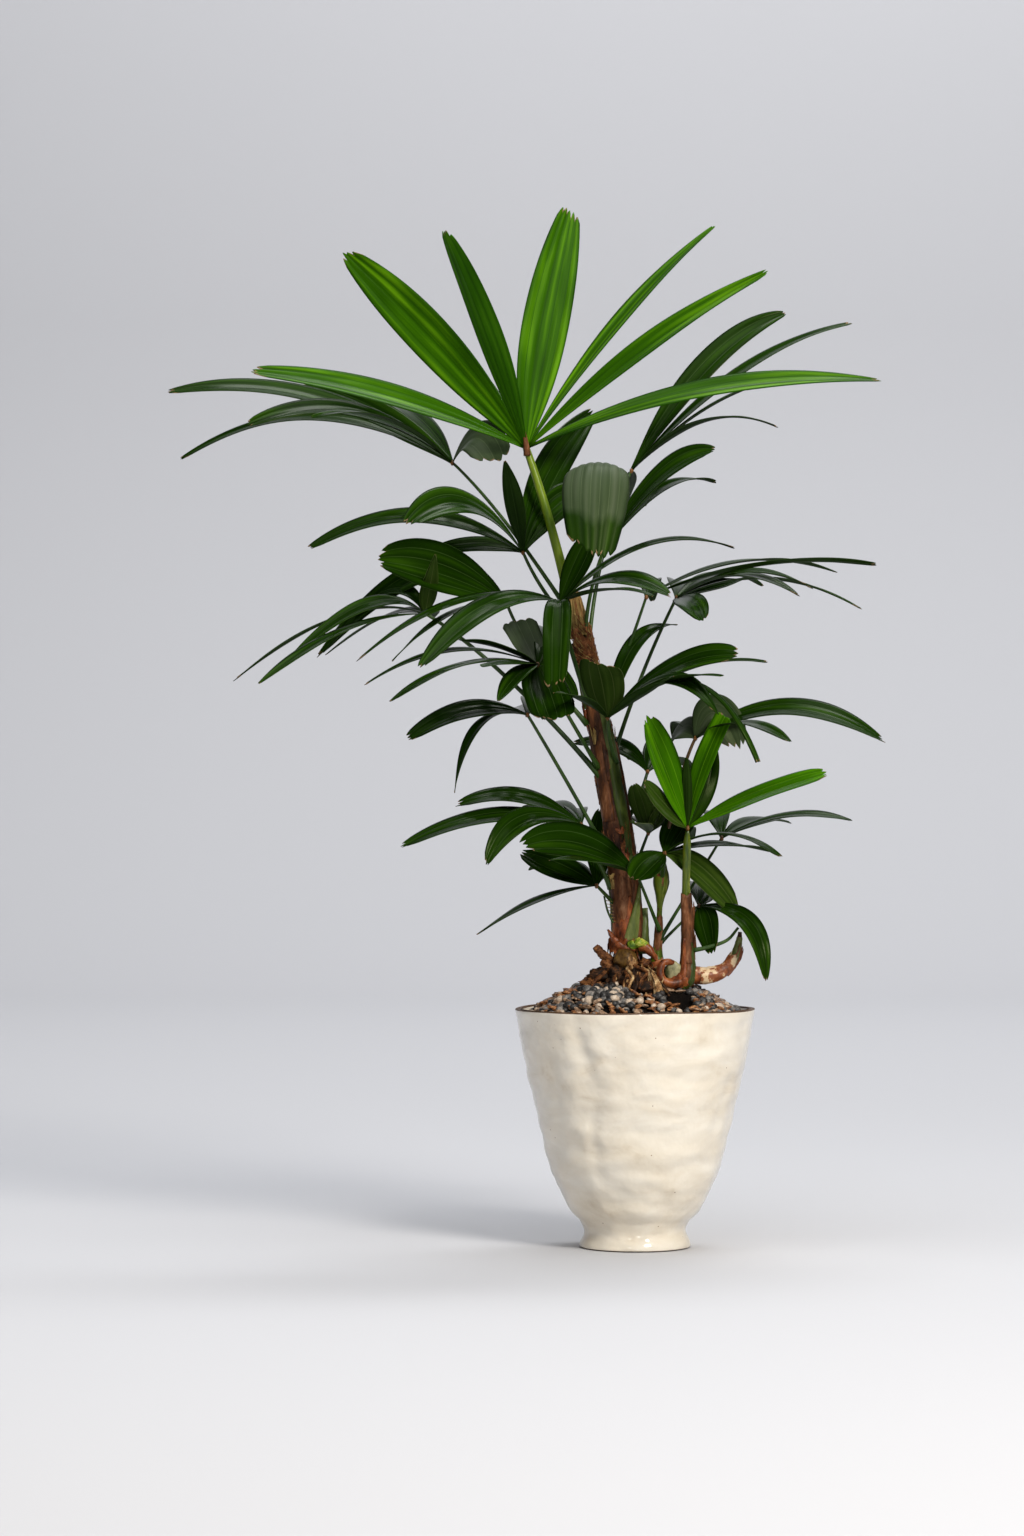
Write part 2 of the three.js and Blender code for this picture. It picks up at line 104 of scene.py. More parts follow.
def add_softbox(name, where, aim, width, watts, tint):
    """A square area light that faces the point it is aimed at."""
    light = bpy.data.lights.new(name, "AREA")
    light.size = width
    light.energy = watts
    light.color = tint
    lamp = bpy.data.objects.new(name, light)
    lamp.location = where
    lamp.rotation_euler = (Vector(aim) - Vector(where)).to_track_quat("-Z", "Y").to_euler()
    bpy.context.scene.collection.objects.link(lamp)


def add_light():
    world = bpy.data.worlds.new("studio")
    world.use_nodes = True
    sky = world.node_tree.nodes["Background"]
    sky.inputs["Color"].default_value = SKY_COLOUR
    sky.inputs["Strength"].default_value = SKY_STRENGTH
    bpy.context.scene.world = world
    bpy.context.scene.view_settings.view_transform = "Standard"
    for softbox in SOFTBOXES:
        add_softbox(*softbox)


add_camera()
add_light()


# ---------------------------------------------------------------- materials
class Finish:
    """A material being mixed, with short words for the nodes that these finishes are made of."""

    def __init__(self, name, colour, roughness, specular=0.5):
        self.material = bpy.data.materials.new(name)
        self.material.use_nodes = True
        self.tree = self.material.node_tree
        self.shader = self.tree.nodes["Principled BSDF"]
        self.shader.inputs["Base Color"].default_value = (*colour, 1)
        self.shader.inputs["Roughness"].default_value = roughness
        self.shader.inputs["Specular IOR Level"].default_value = specular
        self.material.diffuse_color = (*colour, 1)

    def node(self, kind, inputs=None, **settings):
        made = self.tree.nodes.new("ShaderNode" + kind)
        for key, value in settings.items():
            setattr(made, key, value)
        for key, value in (inputs or {}).items():
            if isinstance(value, bpy.types.NodeSocket):
                self.tree.links.new(value, made.inputs[key])
            else:
                made.inputs[key].default_value = value
        return made

    def link(self, output, socket):
        self.tree.links.new(output, self.shader.inputs[socket])

    def sums(self, operation, first, second=0.5):
        return self.node("Math", {0: first, 1: second}, operation=operation).outputs[0]

    def scaled(self, value, factor):
        return self.sums("MULTIPLY", value, factor)

    def part_of(self, vector, axis):
        return self.node("SeparateXYZ", {0: vector}).outputs[axis]

    def off_middle(self, share):
        """How far a share is from a half: 0 there, and 1 at 0 and at 1."""
        return self.sums("ABSOLUTE", self.sums("SUBTRACT", self.scaled(share, 2.0), 1.0))

    def mapped(self, value, low, high, to_low=0.0, to_high=1.0):
        return self.node("MapRange", {
            "Value": value, "From Min": low, "From Max": high, "To Min": to_low, "To Max": to_high,
        }).outputs[0]

    def object_place(self):
        return self.node("TexCoord").outputs["Object"]

    def stretched(self, vector, scale):
        return self.node("Mapping", {"Vector": vector, "Scale": scale}).outputs[0]

    def cloud(self, vector, scale, detail, roughness=0.55, distortion=0.0):
        return self.node("TexNoise", {
            "Vector": vector, "Scale": scale, "Detail": detail, "Roughness": roughness,
            "Distortion": distortion,
        }).outputs["Fac"]

    def ramp(self, factor, stops):
        """Colours along a factor from 0 to 1, each stop a position and a colour."""
        made = self.node("ValToRGB", {"Fac": factor})
        band = made.color_ramp
        while len(band.elements) < len(stops):
            band.elements.new(0.5)
        for element, (position, colour) in zip(band.elements, stops):
            element.position = position
            element.color = (*colour, 1)
        return made.outputs["Color"]

    def blend(self, factor, first, second):
        """Goes from the first colour to the second by the factor; each is a socket or a plain colour."""
        made = self.node("Mix", data_type="RGBA")
        self.tree.links.new(factor, made.inputs["Factor"])
        for value, key in ((first, 6), (second, 7)):
            if isinstance(value, bpy.types.NodeSocket):
                self.tree.links.new(value, made.inputs[key])
            else:
                made.inputs[key].default_value = (*value, 1)
        return made.outputs[2]

    def relief(self, height, distance, strength=1.0):
        return self.node("Bump", {"Height": height, "Distance": distance, "Strength": strength}).outputs[0]


STRIPS = 12  # every leaflet takes one strip of its leaf's UV map, across it; its length runs along V
TONE_STOPS = (0.25, 0.44, 0.62)  # where the shade, the body and the light of a leaf lie on its tone
# Painted shade, as a share of the tone: towards the creases between a leaflet's ribs and towards its edges
RIB_PAINTED_SHADE = 0.10
EDGE_PAINTED_SHADE = 0.14
CREASE_PAINT_SPAN = (0.90, 1.0)  # how far off a rib's middle the painted crease line starts and is full
CREASE_PAINT_STRENGTH = 0.75
SHEEN_FADE = (0.08, 0.11)  # how far past the painted sheen's end the plain green starts and is full
# the plain greens of a leaflet past its painted sheen
PAST_SHEEN_GREENS = ((0.002, 0.010, 0.0004), (0.007, 0.023, 0.0008), (0.018, 0.048, 0.002))
VEIN_DEPTH = 0.00012  # metres
LEAF_GLINT = (0.85, 1, 0.5, 1)


def leaf_finish(name, shade, body, light, crease, roughness, gloss, specular, sheen_end=None):
    """Green blade: streaks and fine veins run along each leaflet, with a line painted in the crease between
    its ribs.

    gloss is how strongly the veins stand out. Up to sheen_end, a place along the leaflet, a grey sheen is
    painted into the colour; past it the blade is plain green.
    """
    made = Finish(name, body, roughness, specular)
    uv = made.node("UVMap", uv_map="blade").outputs["UV"]
    ribs = made.node("UVMap", uv_map="ribs").outputs["UV"]
    off_middle = made.off_middle(made.sums("FRACT", made.scaled(made.part_of(uv, 0), STRIPS)))
    off_rib = made.off_middle(made.sums("FRACT", made.part_of(ribs, 0)))
    streaks = made.cloud(made.stretched(uv, (STRIPS * 6, 1.3, 1)), 1.0, 3.0, 0.6)
    broad = made.cloud(made.stretched(uv, (STRIPS * 1.7, 2.6, 1)), 1.0, 2.0)
    tone = made.sums("ADD", made.scaled(streaks, 0.45), made.scaled(broad, 0.55))
    # painted shade: the tone darkens towards the creases between the ribs and towards the leaflet's edges
    tone = made.sums("SUBTRACT", tone, made.scaled(off_rib, RIB_PAINTED_SHADE))
    tone = made.sums("SUBTRACT", tone, made.scaled(made.sums("POWER", off_middle, 5.0), EDGE_PAINTED_SHADE))
    colour = made.ramp(tone, list(zip(TONE_STOPS, (shade, body, light))))
    # the crease line is painted light: a crease colour darker than the body is painted shade in the fold, a
    # paler one a painted sheen along it
    colour = made.blend(made.mapped(off_rib, *CREASE_PAINT_SPAN, 0.0, CREASE_PAINT_STRENGTH), colour, crease)
    # painted sheen: up to sheen_end the colour is a grey-green sheen, and past it the plain green
    if sheen_end:
        along = made.sums("ADD", made.part_of(uv, 1), made.scaled(broad, 0.22))
        past_sheen = made.mapped(along, sheen_end + SHEEN_FADE[0], sheen_end + SHEEN_FADE[1])
        colour = made.blend(past_sheen, colour, made.ramp(tone, list(zip(TONE_STOPS, PAST_SHEEN_GREENS))))
    made.link(colour, "Base Color")
    made.shader.inputs["Specular Tint"].default_value = LEAF_GLINT
    fine = made.cloud(made.stretched(uv, (STRIPS * 30, 2.5, 1)), 1.0, 2.0)
    made.link(made.relief(made.sums("ADD", made.scaled(streaks, 0.6), fine), VEIN_DEPTH, gloss), "Normal")
    made.link(made.mapped(broad, 0.0, 1.0, roughness - 0.06, roughness + 0.1), "Roughness")
    return made.material


def mottled_finish(name, stops, scale, roughness, relief, stretch=(1, 1, 1), specular=0.4):
    """Colours dealt out by a coarse cloud and a fine one, and a relief that follows them, in metres."""
    made = Finish(name, stops[len(stops) // 2][1], roughness, specular)
    where = made.stretched(made.object_place(), stretch)
    cloud = made.cloud(where, scale, 6.0, 0.62)
    grain = made.cloud(where, scale * 4.5, 4.0)
    mixed = made.sums("ADD", made.scaled(cloud, 0.75), made.scaled(grain, 0.25))
    made.link(made.ramp(mixed, stops), "Base Color")
    made.link(made.relief(mixed, relief), "Normal")
    return made.material


CREAM = (0.80, 0.73, 0.61)
GLAZE_STOPS = [(0.28, (0.64, 0.54, 0.40)), (0.42, (0.77, 0.69, 0.56)), (0.64, (0.84, 0.78, 0.67))]
PINHOLE_BROWN = (0.26, 0.15, 0.08)
PINHOLE_EDGE = (0.035, 0.075)  # how far from its middle a pinhole starts to fade and is gone, in cells
GLAZE_DEPTH = 0.0055  # metres


def glaze_finish():
    """Cream glaze, a little darker in broad cloudy patches, with a few brown pinholes."""
    made = Finish("cream_glaze", CREAM, 0.35, 0.15)
    where = made.object_place()
    wash = made.cloud(made.stretched(where, (1, 1, 2.0)), 15, 6, 0.62, 0.5)
    pits = made.node("TexVoronoi", {"Vector": where, "Scale": 95.0, "Randomness": 1.0})
    pit = made.mapped(pits.outputs["Distance"], *PINHOLE_EDGE, 1.0, 0.0)
    chosen = made.sums("GREATER_THAN", made.cloud(where, 37, 0), 0.60)
    colour = made.blend(made.sums("MULTIPLY", pit, chosen), made.ramp(wash, GLAZE_STOPS), PINHOLE_BROWN)
    made.link(colour, "Base Color")
    swell = made.cloud(made.stretched(where, (1, 1, 1.6)), 30, 1.0, 0.4)
    skin = made.cloud(where, 150, 1, 0.4)
    made.link(made.relief(made.sums("ADD", swell, made.scaled(skin, 0.08)), GLAZE_DEPTH, 0.95), "Normal")
    made.shader.inputs["Coat Weight"].default_value = 0.9
    made.shader.inputs["Coat Roughness"].default_value = 0.05
    return made.material


# A leaf's finish: its colours in the shade, over its body, in the light and of the line painted in the
# creases between its ribs, painted shade where that is darker than the body and painted sheen where it is
# paler.
LEAF_TONES = {
    "bright": leaf_finish(
        "new_leaf_top", (0.006, 0.028, 0.0006), (0.023, 0.083, 0.0008), (0.090, 0.23, 0.003),
        (0.008, 0.042, 0.001), roughness=0.22, gloss=0.45, specular=0.04),
    "fresh": leaf_finish(
        "fresh_leaf_top", (0.010, 0.044, 0.0006), (0.036, 0.132, 0.0008), (0.115, 0.31, 0.003),
        (0.13, 0.32, 0.012), roughness=0.22, gloss=0.45, specular=0.07),
    "dark": leaf_finish(
        "old_leaf_top", (0.0024, 0.0088, 0.0004), (0.007, 0.0245, 0.0006), (0.021, 0.059, 0.002),
        (0.040, 0.080, 0.018), roughness=0.18, gloss=0.42, specular=0.045),
    "olive": leaf_finish(
        "faded_leaf_top", (0.009, 0.022, 0.002), (0.022, 0.048, 0.004), (0.050, 0.088, 0.010),
        (0.10, 0.13, 0.04), roughness=0.25, gloss=0.4, specular=0.06),
}
# Leaflets whose tops catch the overhead light: a grey sheen is painted into their colour up to sheen_end.
PAINTED_SHEEN_LEAF = leaf_finish(
    "painted_sheen_leaf_top", (0.014, 0.026, 0.008), (0.033, 0.050, 0.021), (0.060, 0.076, 0.042),
    (0.07, 0.095, 0.045), roughness=0.42, gloss=0.4, specular=0.1, sheen_end=0.475)
UNDER_TONES = {
    "bright": leaf_finish(
        "new_leaf_under", (0.014, 0.062, 0.002), (0.034, 0.130, 0.003), (0.08, 0.23, 0.008),
        (0.012, 0.058, 0.003), roughness=0.45, gloss=0.3, specular=0.01),
    "dark": leaf_finish(
        "old_leaf_under", (0.004, 0.013, 0.001), (0.010, 0.026, 0.003), (0.022, 0.048, 0.007),
        (0.030, 0.060, 0.012), roughness=0.45, gloss=0.3, specular=0.01),
    "olive": leaf_finish(
        "faded_leaf_under", (0.014, 0.030, 0.004), (0.030, 0.058, 0.008), (0.06, 0.10, 0.018),
        (0.10, 0.13, 0.04), roughness=0.45, gloss=0.3, specular=0.01),
}
UNDER_TONES["fresh"] = UNDER_TONES["bright"]
DRY_TIP = mottled_finish("dry_leaf_tip", [
    (0.3, (0.07, 0.035, 0.012)), (0.7, (0.27, 0.17, 0.07)),
], scale=320, roughness=0.7, relief=0.0002)
STALK_GREEN = mottled_finish("stalk_green", [
    (0.35, (0.010, 0.028, 0.004)), (0.5, (0.026, 0.060, 0.009)), (0.7, (0.05, 0.095, 0.015)),
], scale=60, roughness=0.34, relief=0.0002, stretch=(1, 1, 0.2), specular=0.22)
STALK_BRIGHT = mottled_finish("stalk_bright", [
    (0.35, (0.06, 0.12, 0.004)), (0.5, (0.17, 0.24, 0.010)), (0.7, (0.29, 0.37, 0.02)),
], scale=60, roughness=0.3, relief=0.0002, stretch=(1, 1, 0.15))
STALK_LIME = mottled_finish("stalk_lime", [
    (0.38, (0.022, 0.050, 0.002)), (0.5, (0.085, 0.120, 0.004)), (0.66, (0.26, 0.28, 0.02)),
], scale=60, roughness=0.3, relief=0.0002, stretch=(2.4, 2.4, 0.12))
STALK_BROWN = mottled_finish("stalk_brown", [
    (0.35, (0.04, 0.018, 0.007)), (0.5, (0.11, 0.055, 0.018)), (0.7, (0.18, 0.11, 0.03)),
], scale=70, roughness=0.45, relief=0.0003, stretch=(1, 1, 0.3))
HUB_SCALE = mottled_finish("hub_scale", [
    (0.35, (0.03, 0.018, 0.003)), (0.5, (0.13, 0.05, 0.009)), (0.65, (0.34, 0.14, 0.03)),
], scale=260, roughness=0.5, relief=0.0003)
BARK = mottled_finish("cane_bark", [
    (0.30, (0.007, 0.003, 0.001)), (0.46, (0.030, 0.011, 0.005)), (0.58, (0.085, 0.030, 0.012)),
    (0.72, (0.22, 0.095, 0.040)),
], scale=85, roughness=0.6, relief=0.0016, stretch=(1, 1, 0.6), specular=0.2)
SHEATH_BROWN = mottled_finish("sheath_brown", [
    (0.33, (0.010, 0.004, 0.001)), (0.45, (0.055, 0.019, 0.006)), (0.56, (0.150, 0.052, 0.017)),
    (0.70, (0.36, 0.175, 0.085)),
], scale=105, roughness=0.5, relief=0.0011, stretch=(1, 1, 0.30), specular=0.2)
SHEATH_ORANGE = mottled_finish("sheath_orange", [
    (0.33, (0.018, 0.005, 0.001)), (0.44, (0.13, 0.030, 0.007)), (0.56, (0.30, 0.082, 0.020)),
    (0.70, (0.52, 0.24, 0.10)),
], scale=105, roughness=0.38, relief=0.0009, stretch=(1, 1, 0.5), specular=0.3)
SHEATH_GREEN = mottled_finish("sheath_green", [
    (0.30, (0.010, 0.016, 0.002)), (0.46, (0.034, 0.054, 0.007)), (0.58, (0.070, 0.095, 0.014)),
    (0.74, (0.17, 0.17, 0.045)),
], scale=80, roughness=0.4, relief=0.0006, stretch=(1, 1, 0.22), specular=0.25)
SHEATH_PALE = mottled_finish("sheath_pale", [
    (0.30, (0.035, 0.055, 0.010)), (0.5, (0.105, 0.130, 0.030)), (0.72, (0.27, 0.26, 0.10)),
], scale=80, roughness=0.38, relief=0.0005, stretch=(1, 1, 0.3), specular=0.25)
SPINDLE = mottled_finish("spindle_sheath", [
    (0.32, (0.020, 0.036, 0.001)), (0.5, (0.060, 0.095, 0.004)), (0.70, (0.15, 0.17, 0.012)),
], scale=60, roughness=0.4, relief=0.0004, stretch=(1, 1, 0.2), specular=0.2)
BULB_SKIN = mottled_finish("bulb_skin", [
    (0.34, (0.016, 0.007, 0.002)), (0.48, (0.090, 0.045, 0.010)), (0.60, (0.165, 0.090, 0.018)),
    (0.72, (0.34, 0.13, 0.035)),
], scale=110, roughness=0.45, relief=0.0010, specular=0.25)
HOLLOW_SKIN = mottled_finish("hollow_skin", [
    (0.40, (0.035, 0.045, 0.010)), (0.62, (0.36, 0.33, 0.17)),
], scale=60, roughness=0.45, relief=0.0003)
SHEATH_FLAKY = mottled_finish("sheath_flaky", [
    (0.34, (0.020, 0.006, 0.002)), (0.42, (0.17, 0.045, 0.012)), (0.51, (0.27, 0.08, 0.022)),
    (0.53, (0.62, 0.44, 0.25)), (0.75, (0.76, 0.64, 0.46)),
], scale=55, roughness=0.42, relief=0.0010)
KNOB = mottled_finish("knob_skin", [
    (0.36, (0.035, 0.085, 0.004)), (0.48, (0.16, 0.27, 0.012)), (0.62, (0.52, 0.50, 0.08)),
], scale=170, roughness=0.35, relief=0.0009)
FIBRE_STRAW = mottled_finish("fibre_straw", [
    (0.35, (0.13, 0.070, 0.016)), (0.65, (0.56, 0.38, 0.13)),
], scale=150, roughness=0.65, relief=0.0003, stretch=(2, 2, 0.2), specular=0.2)
FIBRE_BROWN = mottled_finish("fibre_brown", [
    (0.36, (0.020, 0.006, 0.002)), (0.50, (0.17, 0.055, 0.015)), (0.66, (0.46, 0.19, 0.07)),
], scale=170, roughness=0.6, relief=0.0012, specular=0.2)
ROOT_DARK = mottled_finish("root_dark", [
    (0.36, (0.003, 0.002, 0.001)), (0.50, (0.020, 0.009, 0.004)), (0.60, (0.10, 0.038, 0.012)),
    (0.72, (0.26, 0.12, 0.045)),
], scale=170, roughness=0.7, relief=0.0016, specular=0.2)
ROOT_TAN = mottled_finish("root_tan", [
    (0.36, (0.012, 0.004, 0.001)), (0.48, (0.090, 0.030, 0.008)), (0.60, (0.25, 0.10, 0.030)),
    (0.72, (0.44, 0.24, 0.10)),
], scale=170, roughness=0.65, relief=0.0014, specular=0.2)
ROOT_PALE = mottled_finish("root_pale", [
    (0.34, (0.040, 0.015, 0.004)), (0.47, (0.26, 0.13, 0.045)), (0.64, (0.70, 0.50, 0.26)),
], scale=150, roughness=0.6, relief=0.0011, specular=0.2)
SOIL = mottled_finish("soil", [
    (0.3, (0.0015, 0.001, 0.001)), (0.7, (0.009, 0.006, 0.004)),
], scale=200, roughness=0.95, relief=0.0015, specular=0.1)
BARE_CLAY = mottled_finish("bare_clay", [
    (0.3, (0.05, 0.026, 0.014)), (0.7, (0.17, 0.095, 0.05)),
], scale=90, roughness=0.6, relief=0.0004)
GLAZE = glaze_finish()
PEBBLES = {
    "charcoal": mottled_finish("pebble_charcoal", [
        (0.3, (0.003, 0.003, 0.003)), (0.5, (0.022, 0.020, 0.019)), (0.70, (0.11, 0.105, 0.10)),
    ], scale=190, roughness=0.42, relief=0.0005),
    "slate": mottled_finish("pebble_slate", [
        (0.3, (0.030, 0.028, 0.026)), (0.5, (0.15, 0.138, 0.127)), (0.66, (0.42, 0.37, 0.32)),
    ], scale=190, roughness=0.45, relief=0.0005),
    "tan": mottled_finish("pebble_tan", [
        (0.36, (0.010, 0.005, 0.003)), (0.48, (0.26, 0.15, 0.085)), (0.64, (0.66, 0.48, 0.33)),
    ], scale=210, roughness=0.5, relief=0.0009, stretch=(1, 1, 2.2)),
    "rust": mottled_finish("pebble_rust", [
        (0.36, (0.006, 0.003, 0.002)), (0.48, (0.20, 0.070, 0.020)), (0.64, (0.60, 0.29, 0.11)),
    ], scale=210, roughness=0.5, relief=0.0009, stretch=(1, 1, 2.6)),
    "pale": mottled_finish("pebble_pale", [
        (0.3, (0.26, 0.19, 0.13)), (0.5, (0.56, 0.44, 0.33)), (0.7, (0.80, 0.70, 0.58)),
    ], scale=150, roughness=0.5, relief=0.0004),
}


# ---------------------------------------------------------------- making pieces
def smoothed(mesh):
    for polygon in mesh.polygons:
        polygon.use_smooth = True


def piece(name, bm, materials, nodes=()):
    """A finished bmesh as an object that rides on the plant's one body and stands for its nodes."""
    mesh = bpy.data.meshes.new(name)
    bm.to_mesh(mesh)
    bm.free()
    for material in materials:
        mesh.materials.append(material)
    smoothed(mesh)
    made = bpy.data.objects.new(name, mesh)
    bpy.context.scene.collection.objects.link(made)
    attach(made, "root")
    if nodes:
        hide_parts(*nodes)
    return made


def add_to(whole, part):
    """Moves the part's mesh into the whole's."""
    mesh = bpy.data.meshes.new("part")
    part.to_mesh(mesh)
    part.free()
    whole.from_mesh(mesh)
    bpy.data.meshes.remove(mesh)


def bezier(points, share):
    """The point at a share of the way along the curve that the control points draw."""
    while len(points) > 1:
        points = [a.lerp(b, share) for a, b in zip(points, points[1:])]
    return points[0]


def woven(points, share):
    """The point at a share of the way along a smooth curve through every point."""
    spans = len(points) - 1
    span = min(int(share * spans), spans - 1)
    t = share * spans - span
    a = points[span - 1] if span else 2 * points[0] - points[1]
    b, c = points[span], points[span + 1]
    d = points[span + 2] if span + 2 <= spans else 2 * points[spans] - points[spans - 1]
    return 0.5 * (2 * b + (c - a) * t + (2 * a - 5 * b + 4 * c - d) * t**2 + (3 * b - a - 3 * c + d) * t**3)


class Cane:
    """A round limb: where its surface is, for its own skin and for whatever wraps it."""

    def __init__(self, points, radius_at, curve=bezier):
        self.points = [place(*p) for p in points]
        self.radius_at = radius_at
        self.curve = curve

    def centre(self, share):
        return self.curve(self.points, share)

    def axes(self, share):
        """Along the limb, to its front and to its right; one that runs to the front has its front on top."""
        along = (self.centre(min(share + NUDGE, 1)) - self.centre(max(share - NUDGE, 0))).normalized()
        front = FRONT - along * along.dot(FRONT)
        if front.length < 0.3:
            front = UP - along * along.dot(UP)
        front.normalize()
        return along, front, along.cross(front)

    def surface(self, share, turn, lift):
        """The point on the limb at a turn in radians, lifted off it by millimetres."""
        along, front, right = self.axes(share)
        spoke = front * math.cos(turn) + right * math.sin(turn)
        return self.centre(share) + spoke * (self.radius_at(share) + lift) * MM

    def share_at(self, height):
        """The share of the way at which a rising limb reaches a height in millimetres."""
        low, high = 0.0, 1.0
        for _ in range(24):
            middle = (low + high) / 2
            if self.centre(middle).z < height * MM:
                low = middle
            else:
                high = middle
        return low


def no_relief(share, turn):
    return 0.0


def limb(cane, sides, rings, relief=no_relief):
    """The limb's skin: a cylinder cut into rings, each point moved to its place on the limb."""
    bm = bmesh.new()
    bmesh.ops.create_cone(bm, cap_ends=True, segments=sides, radius1=1, radius2=1, depth=1)
    uprights = [e for e in bm.edges if abs(e.verts[0].co.z - e.verts[1].co.z) > 0.5]
    bmesh.ops.subdivide_edges(bm, edges=uprights, cuts=rings - 1)
    for v in bm.verts:
        share = min(max(v.co.z + 0.5, 0), 1)
        turn = math.atan2(v.co.x, -v.co.y)
        v.co = cane.surface(share, turn, relief(share, turn))
    bmesh.ops.recalc_face_normals(bm, faces=bm.faces)
    return bm


LUMPS_ALONG = 4.0  # how often the lumps' pattern runs along a limb, in times its scale


def lumps(scale, height, seed=0.0):
    """Relief of a limb's skin by a cloud pattern: lumps per turn and per length, and their height."""
    def relief(share, turn):
        spot = Vector((math.cos(turn) * scale, math.sin(turn) * scale, share * scale * LUMPS_ALONG + seed))
        return height * noise.fractal(spot, 0.7, 2.0, 4)
    return relief


def wrap(cane, low, high, first_turn, last_turn, lift, taper=0.0, root=0.0, ragged=0.0, lean=0.0,
         flare=0.0, skirt=0.0, sink=1.3, seed=0, across=14, rows=30):
    """A sheath that wraps a limb between two shares of its length and two turns.

    taper narrows it to a point at the top and root at the bottom; ragged tears its top; lean turns it round
    the limb as it climbs; flare lifts its top off the limb and skirt its foot; sink lays its sides on it.
    """
    bm = bmesh.new()
    bmesh.ops.create_grid(bm, x_segments=across, y_segments=rows, size=0.5)
    middle = (first_turn + last_turn) / 2
    half = (last_turn - first_turn) / 2
    for v in bm.verts:
        side, climb = 2 * v.co.x, v.co.y + 0.5
        tear = ragged * noise.noise(Vector((side * 4, seed * 3.7, 0.5)))
        tear += 0.4 * ragged * noise.noise(Vector((side * 13, seed * 5.1, 0.5)))
        rip = skirt * 0.02 * noise.noise(Vector((side * 5, seed * 2.3, 7.5))) * (1 - climb) ** 2
        share = low + (high - low) * climb * (1 + tear * climb) + rip
        width = half * (1 - taper * climb**1.6) * (1 - root * (1 - climb) ** 2.2)
        turn = math.radians(middle + lean * climb + side * width)
        bulge = lift - (sink + lift) * abs(side) ** 4 + flare * climb**3 + skirt * (1 - climb) ** 3
        bulge += 0.4 * noise.fractal(Vector((side * 3, climb * 5, seed)), 0.7, 2.0, 3)
        v.co = cane.surface(min(max(share, 0), 1), turn, bulge)
    bmesh.ops.recalc_face_normals(bm, faces=bm.faces)
    outward = cane.surface((low + high) / 2, math.radians(middle + lean / 2), 25)
    face = min(bm.faces, key=lambda f: (f.calc_center_median() - outward).length)
    if face.normal.dot(outward - face.calc_center_median()) < 0:
        bmesh.ops.reverse_faces(bm, faces=bm.faces)
    return bm


def knot(bm, where, size, dents=0.3, seed=0.0, grain=2.2):
    """A rough lump: a ball stretched and dented."""
    ball = bmesh.ops.create_icosphere(bm, subdivisions=3, radius=1)
    offset = Vector((seed * 7.3, seed * 2.1, seed))
    for v in ball["verts"]:
        dent = 1 + dents * noise.fractal(v.co * grain + offset, 0.6, 2.0, 4)
        v.co = place(*(v.co[i] * size[i] * dent + where[i] for i in range(3)))


def strand(bm, points, thick, thin=None, sides=5, rings=10):
    """A fibre or fine root through the points, as millimetres."""
    thin = thick if thin is None else thin
    add_to(bm, limb(Cane(points, lambda share: thick + (thin - thick) * share, woven), sides, rings))


def over(cane, share, turn, lift):
    """A point just off a limb's surface, in millimetres."""
    return cane.surface(share, math.radians(turn), lift) / MM


def thicken(made, thickness, material_offset=0):
    """Gives a sheet its thickness, inwards from the face that shows."""
    wall = made.modifiers.new("thickness", "SOLIDIFY")
    wall.thickness = thickness * MM
    wall.offset = -1
    wall.material_offset = material_offset
    wall.material_offset_rim = material_offset
    return made


# ---------------------------------------------------------------- pot
POT_SIDES = 240
OUTSIDE_STEPS = 9 * (len(POT_OUTSIDE) - 1)
INSIDE_STEPS = 12
LIP_DEPTH = 0.7  # this far down from the top the clay is bare
BARE_FOOT = 1.1  # and this far up from the foot
UNDERSIDE_RING = 20
INNERMOST_WALL = 0.03  # metres; the relief is the wall's and not the floor's
FOOT_FADE = 12  # the relief grows to its full height over this much of the wall
RIM_FADE = (195, 20)  # where it starts to weaken again, and over how much of the wall
RIM_CALM = 0.6
LIP_ZONE = 6  # the rim dips and rises by its wave down to here
POT_SWELLS = [  # height of the swell, how close it is round the pot and up it, and where its pattern starts
    (1.1, 0.9, 0.075, 0, 0),  # throwing ridges that come and go
    (0.5, 1.6, 0.17, 7, 0),  # finer ridges
    (0.8, 3.4, 0.032, 0, 9),  # broad dents
    (0.22, 7, 0.09, 0, 4),  # small knocks
]
# Upright dents between the facets: turn in radians, depth and height up the pot.
POT_DENTS = [(-0.52, 3.2, 190), (-0.44, 2.1, 110), (-0.9, 1.4, 140), (0.98, 1.1, 120), (2.4, 1.8, 170)]
DENT_WIDTH = 0.09  # radians
DENT_REACH = 42
DENT_DRIFT = 0.05  # radians to either side, as the dent goes up


def pot_relief(turn, height):
    """How far the thrown wall stands off its profile, in millimetres, with its upright dents."""
    relief = 0.0
    for depth, around, upward, start_x, start_z in POT_SWELLS:
        relief += depth * noise.noise(Vector((
            math.cos(turn) * around + start_x, math.sin(turn) * around, height * upward + start_z)))
    dents = 0.0
    for at_turn, depth, middle in POT_DENTS:
        drift = at_turn + DENT_DRIFT * math.sin(height * 0.05)
        off_turn = (turn - drift) / DENT_WIDTH
        dents -= depth * math.exp(-(off_turn**2)) * math.exp(-(((height - middle) / DENT_REACH) ** 2))
    return relief + dents


def rim_wave(turn):
    """How far the hand-thrown rim stands off its level."""
    return 0.5 * math.sin(2 * turn + 1) + 0.3 * math.sin(5 * turn) - 0.5


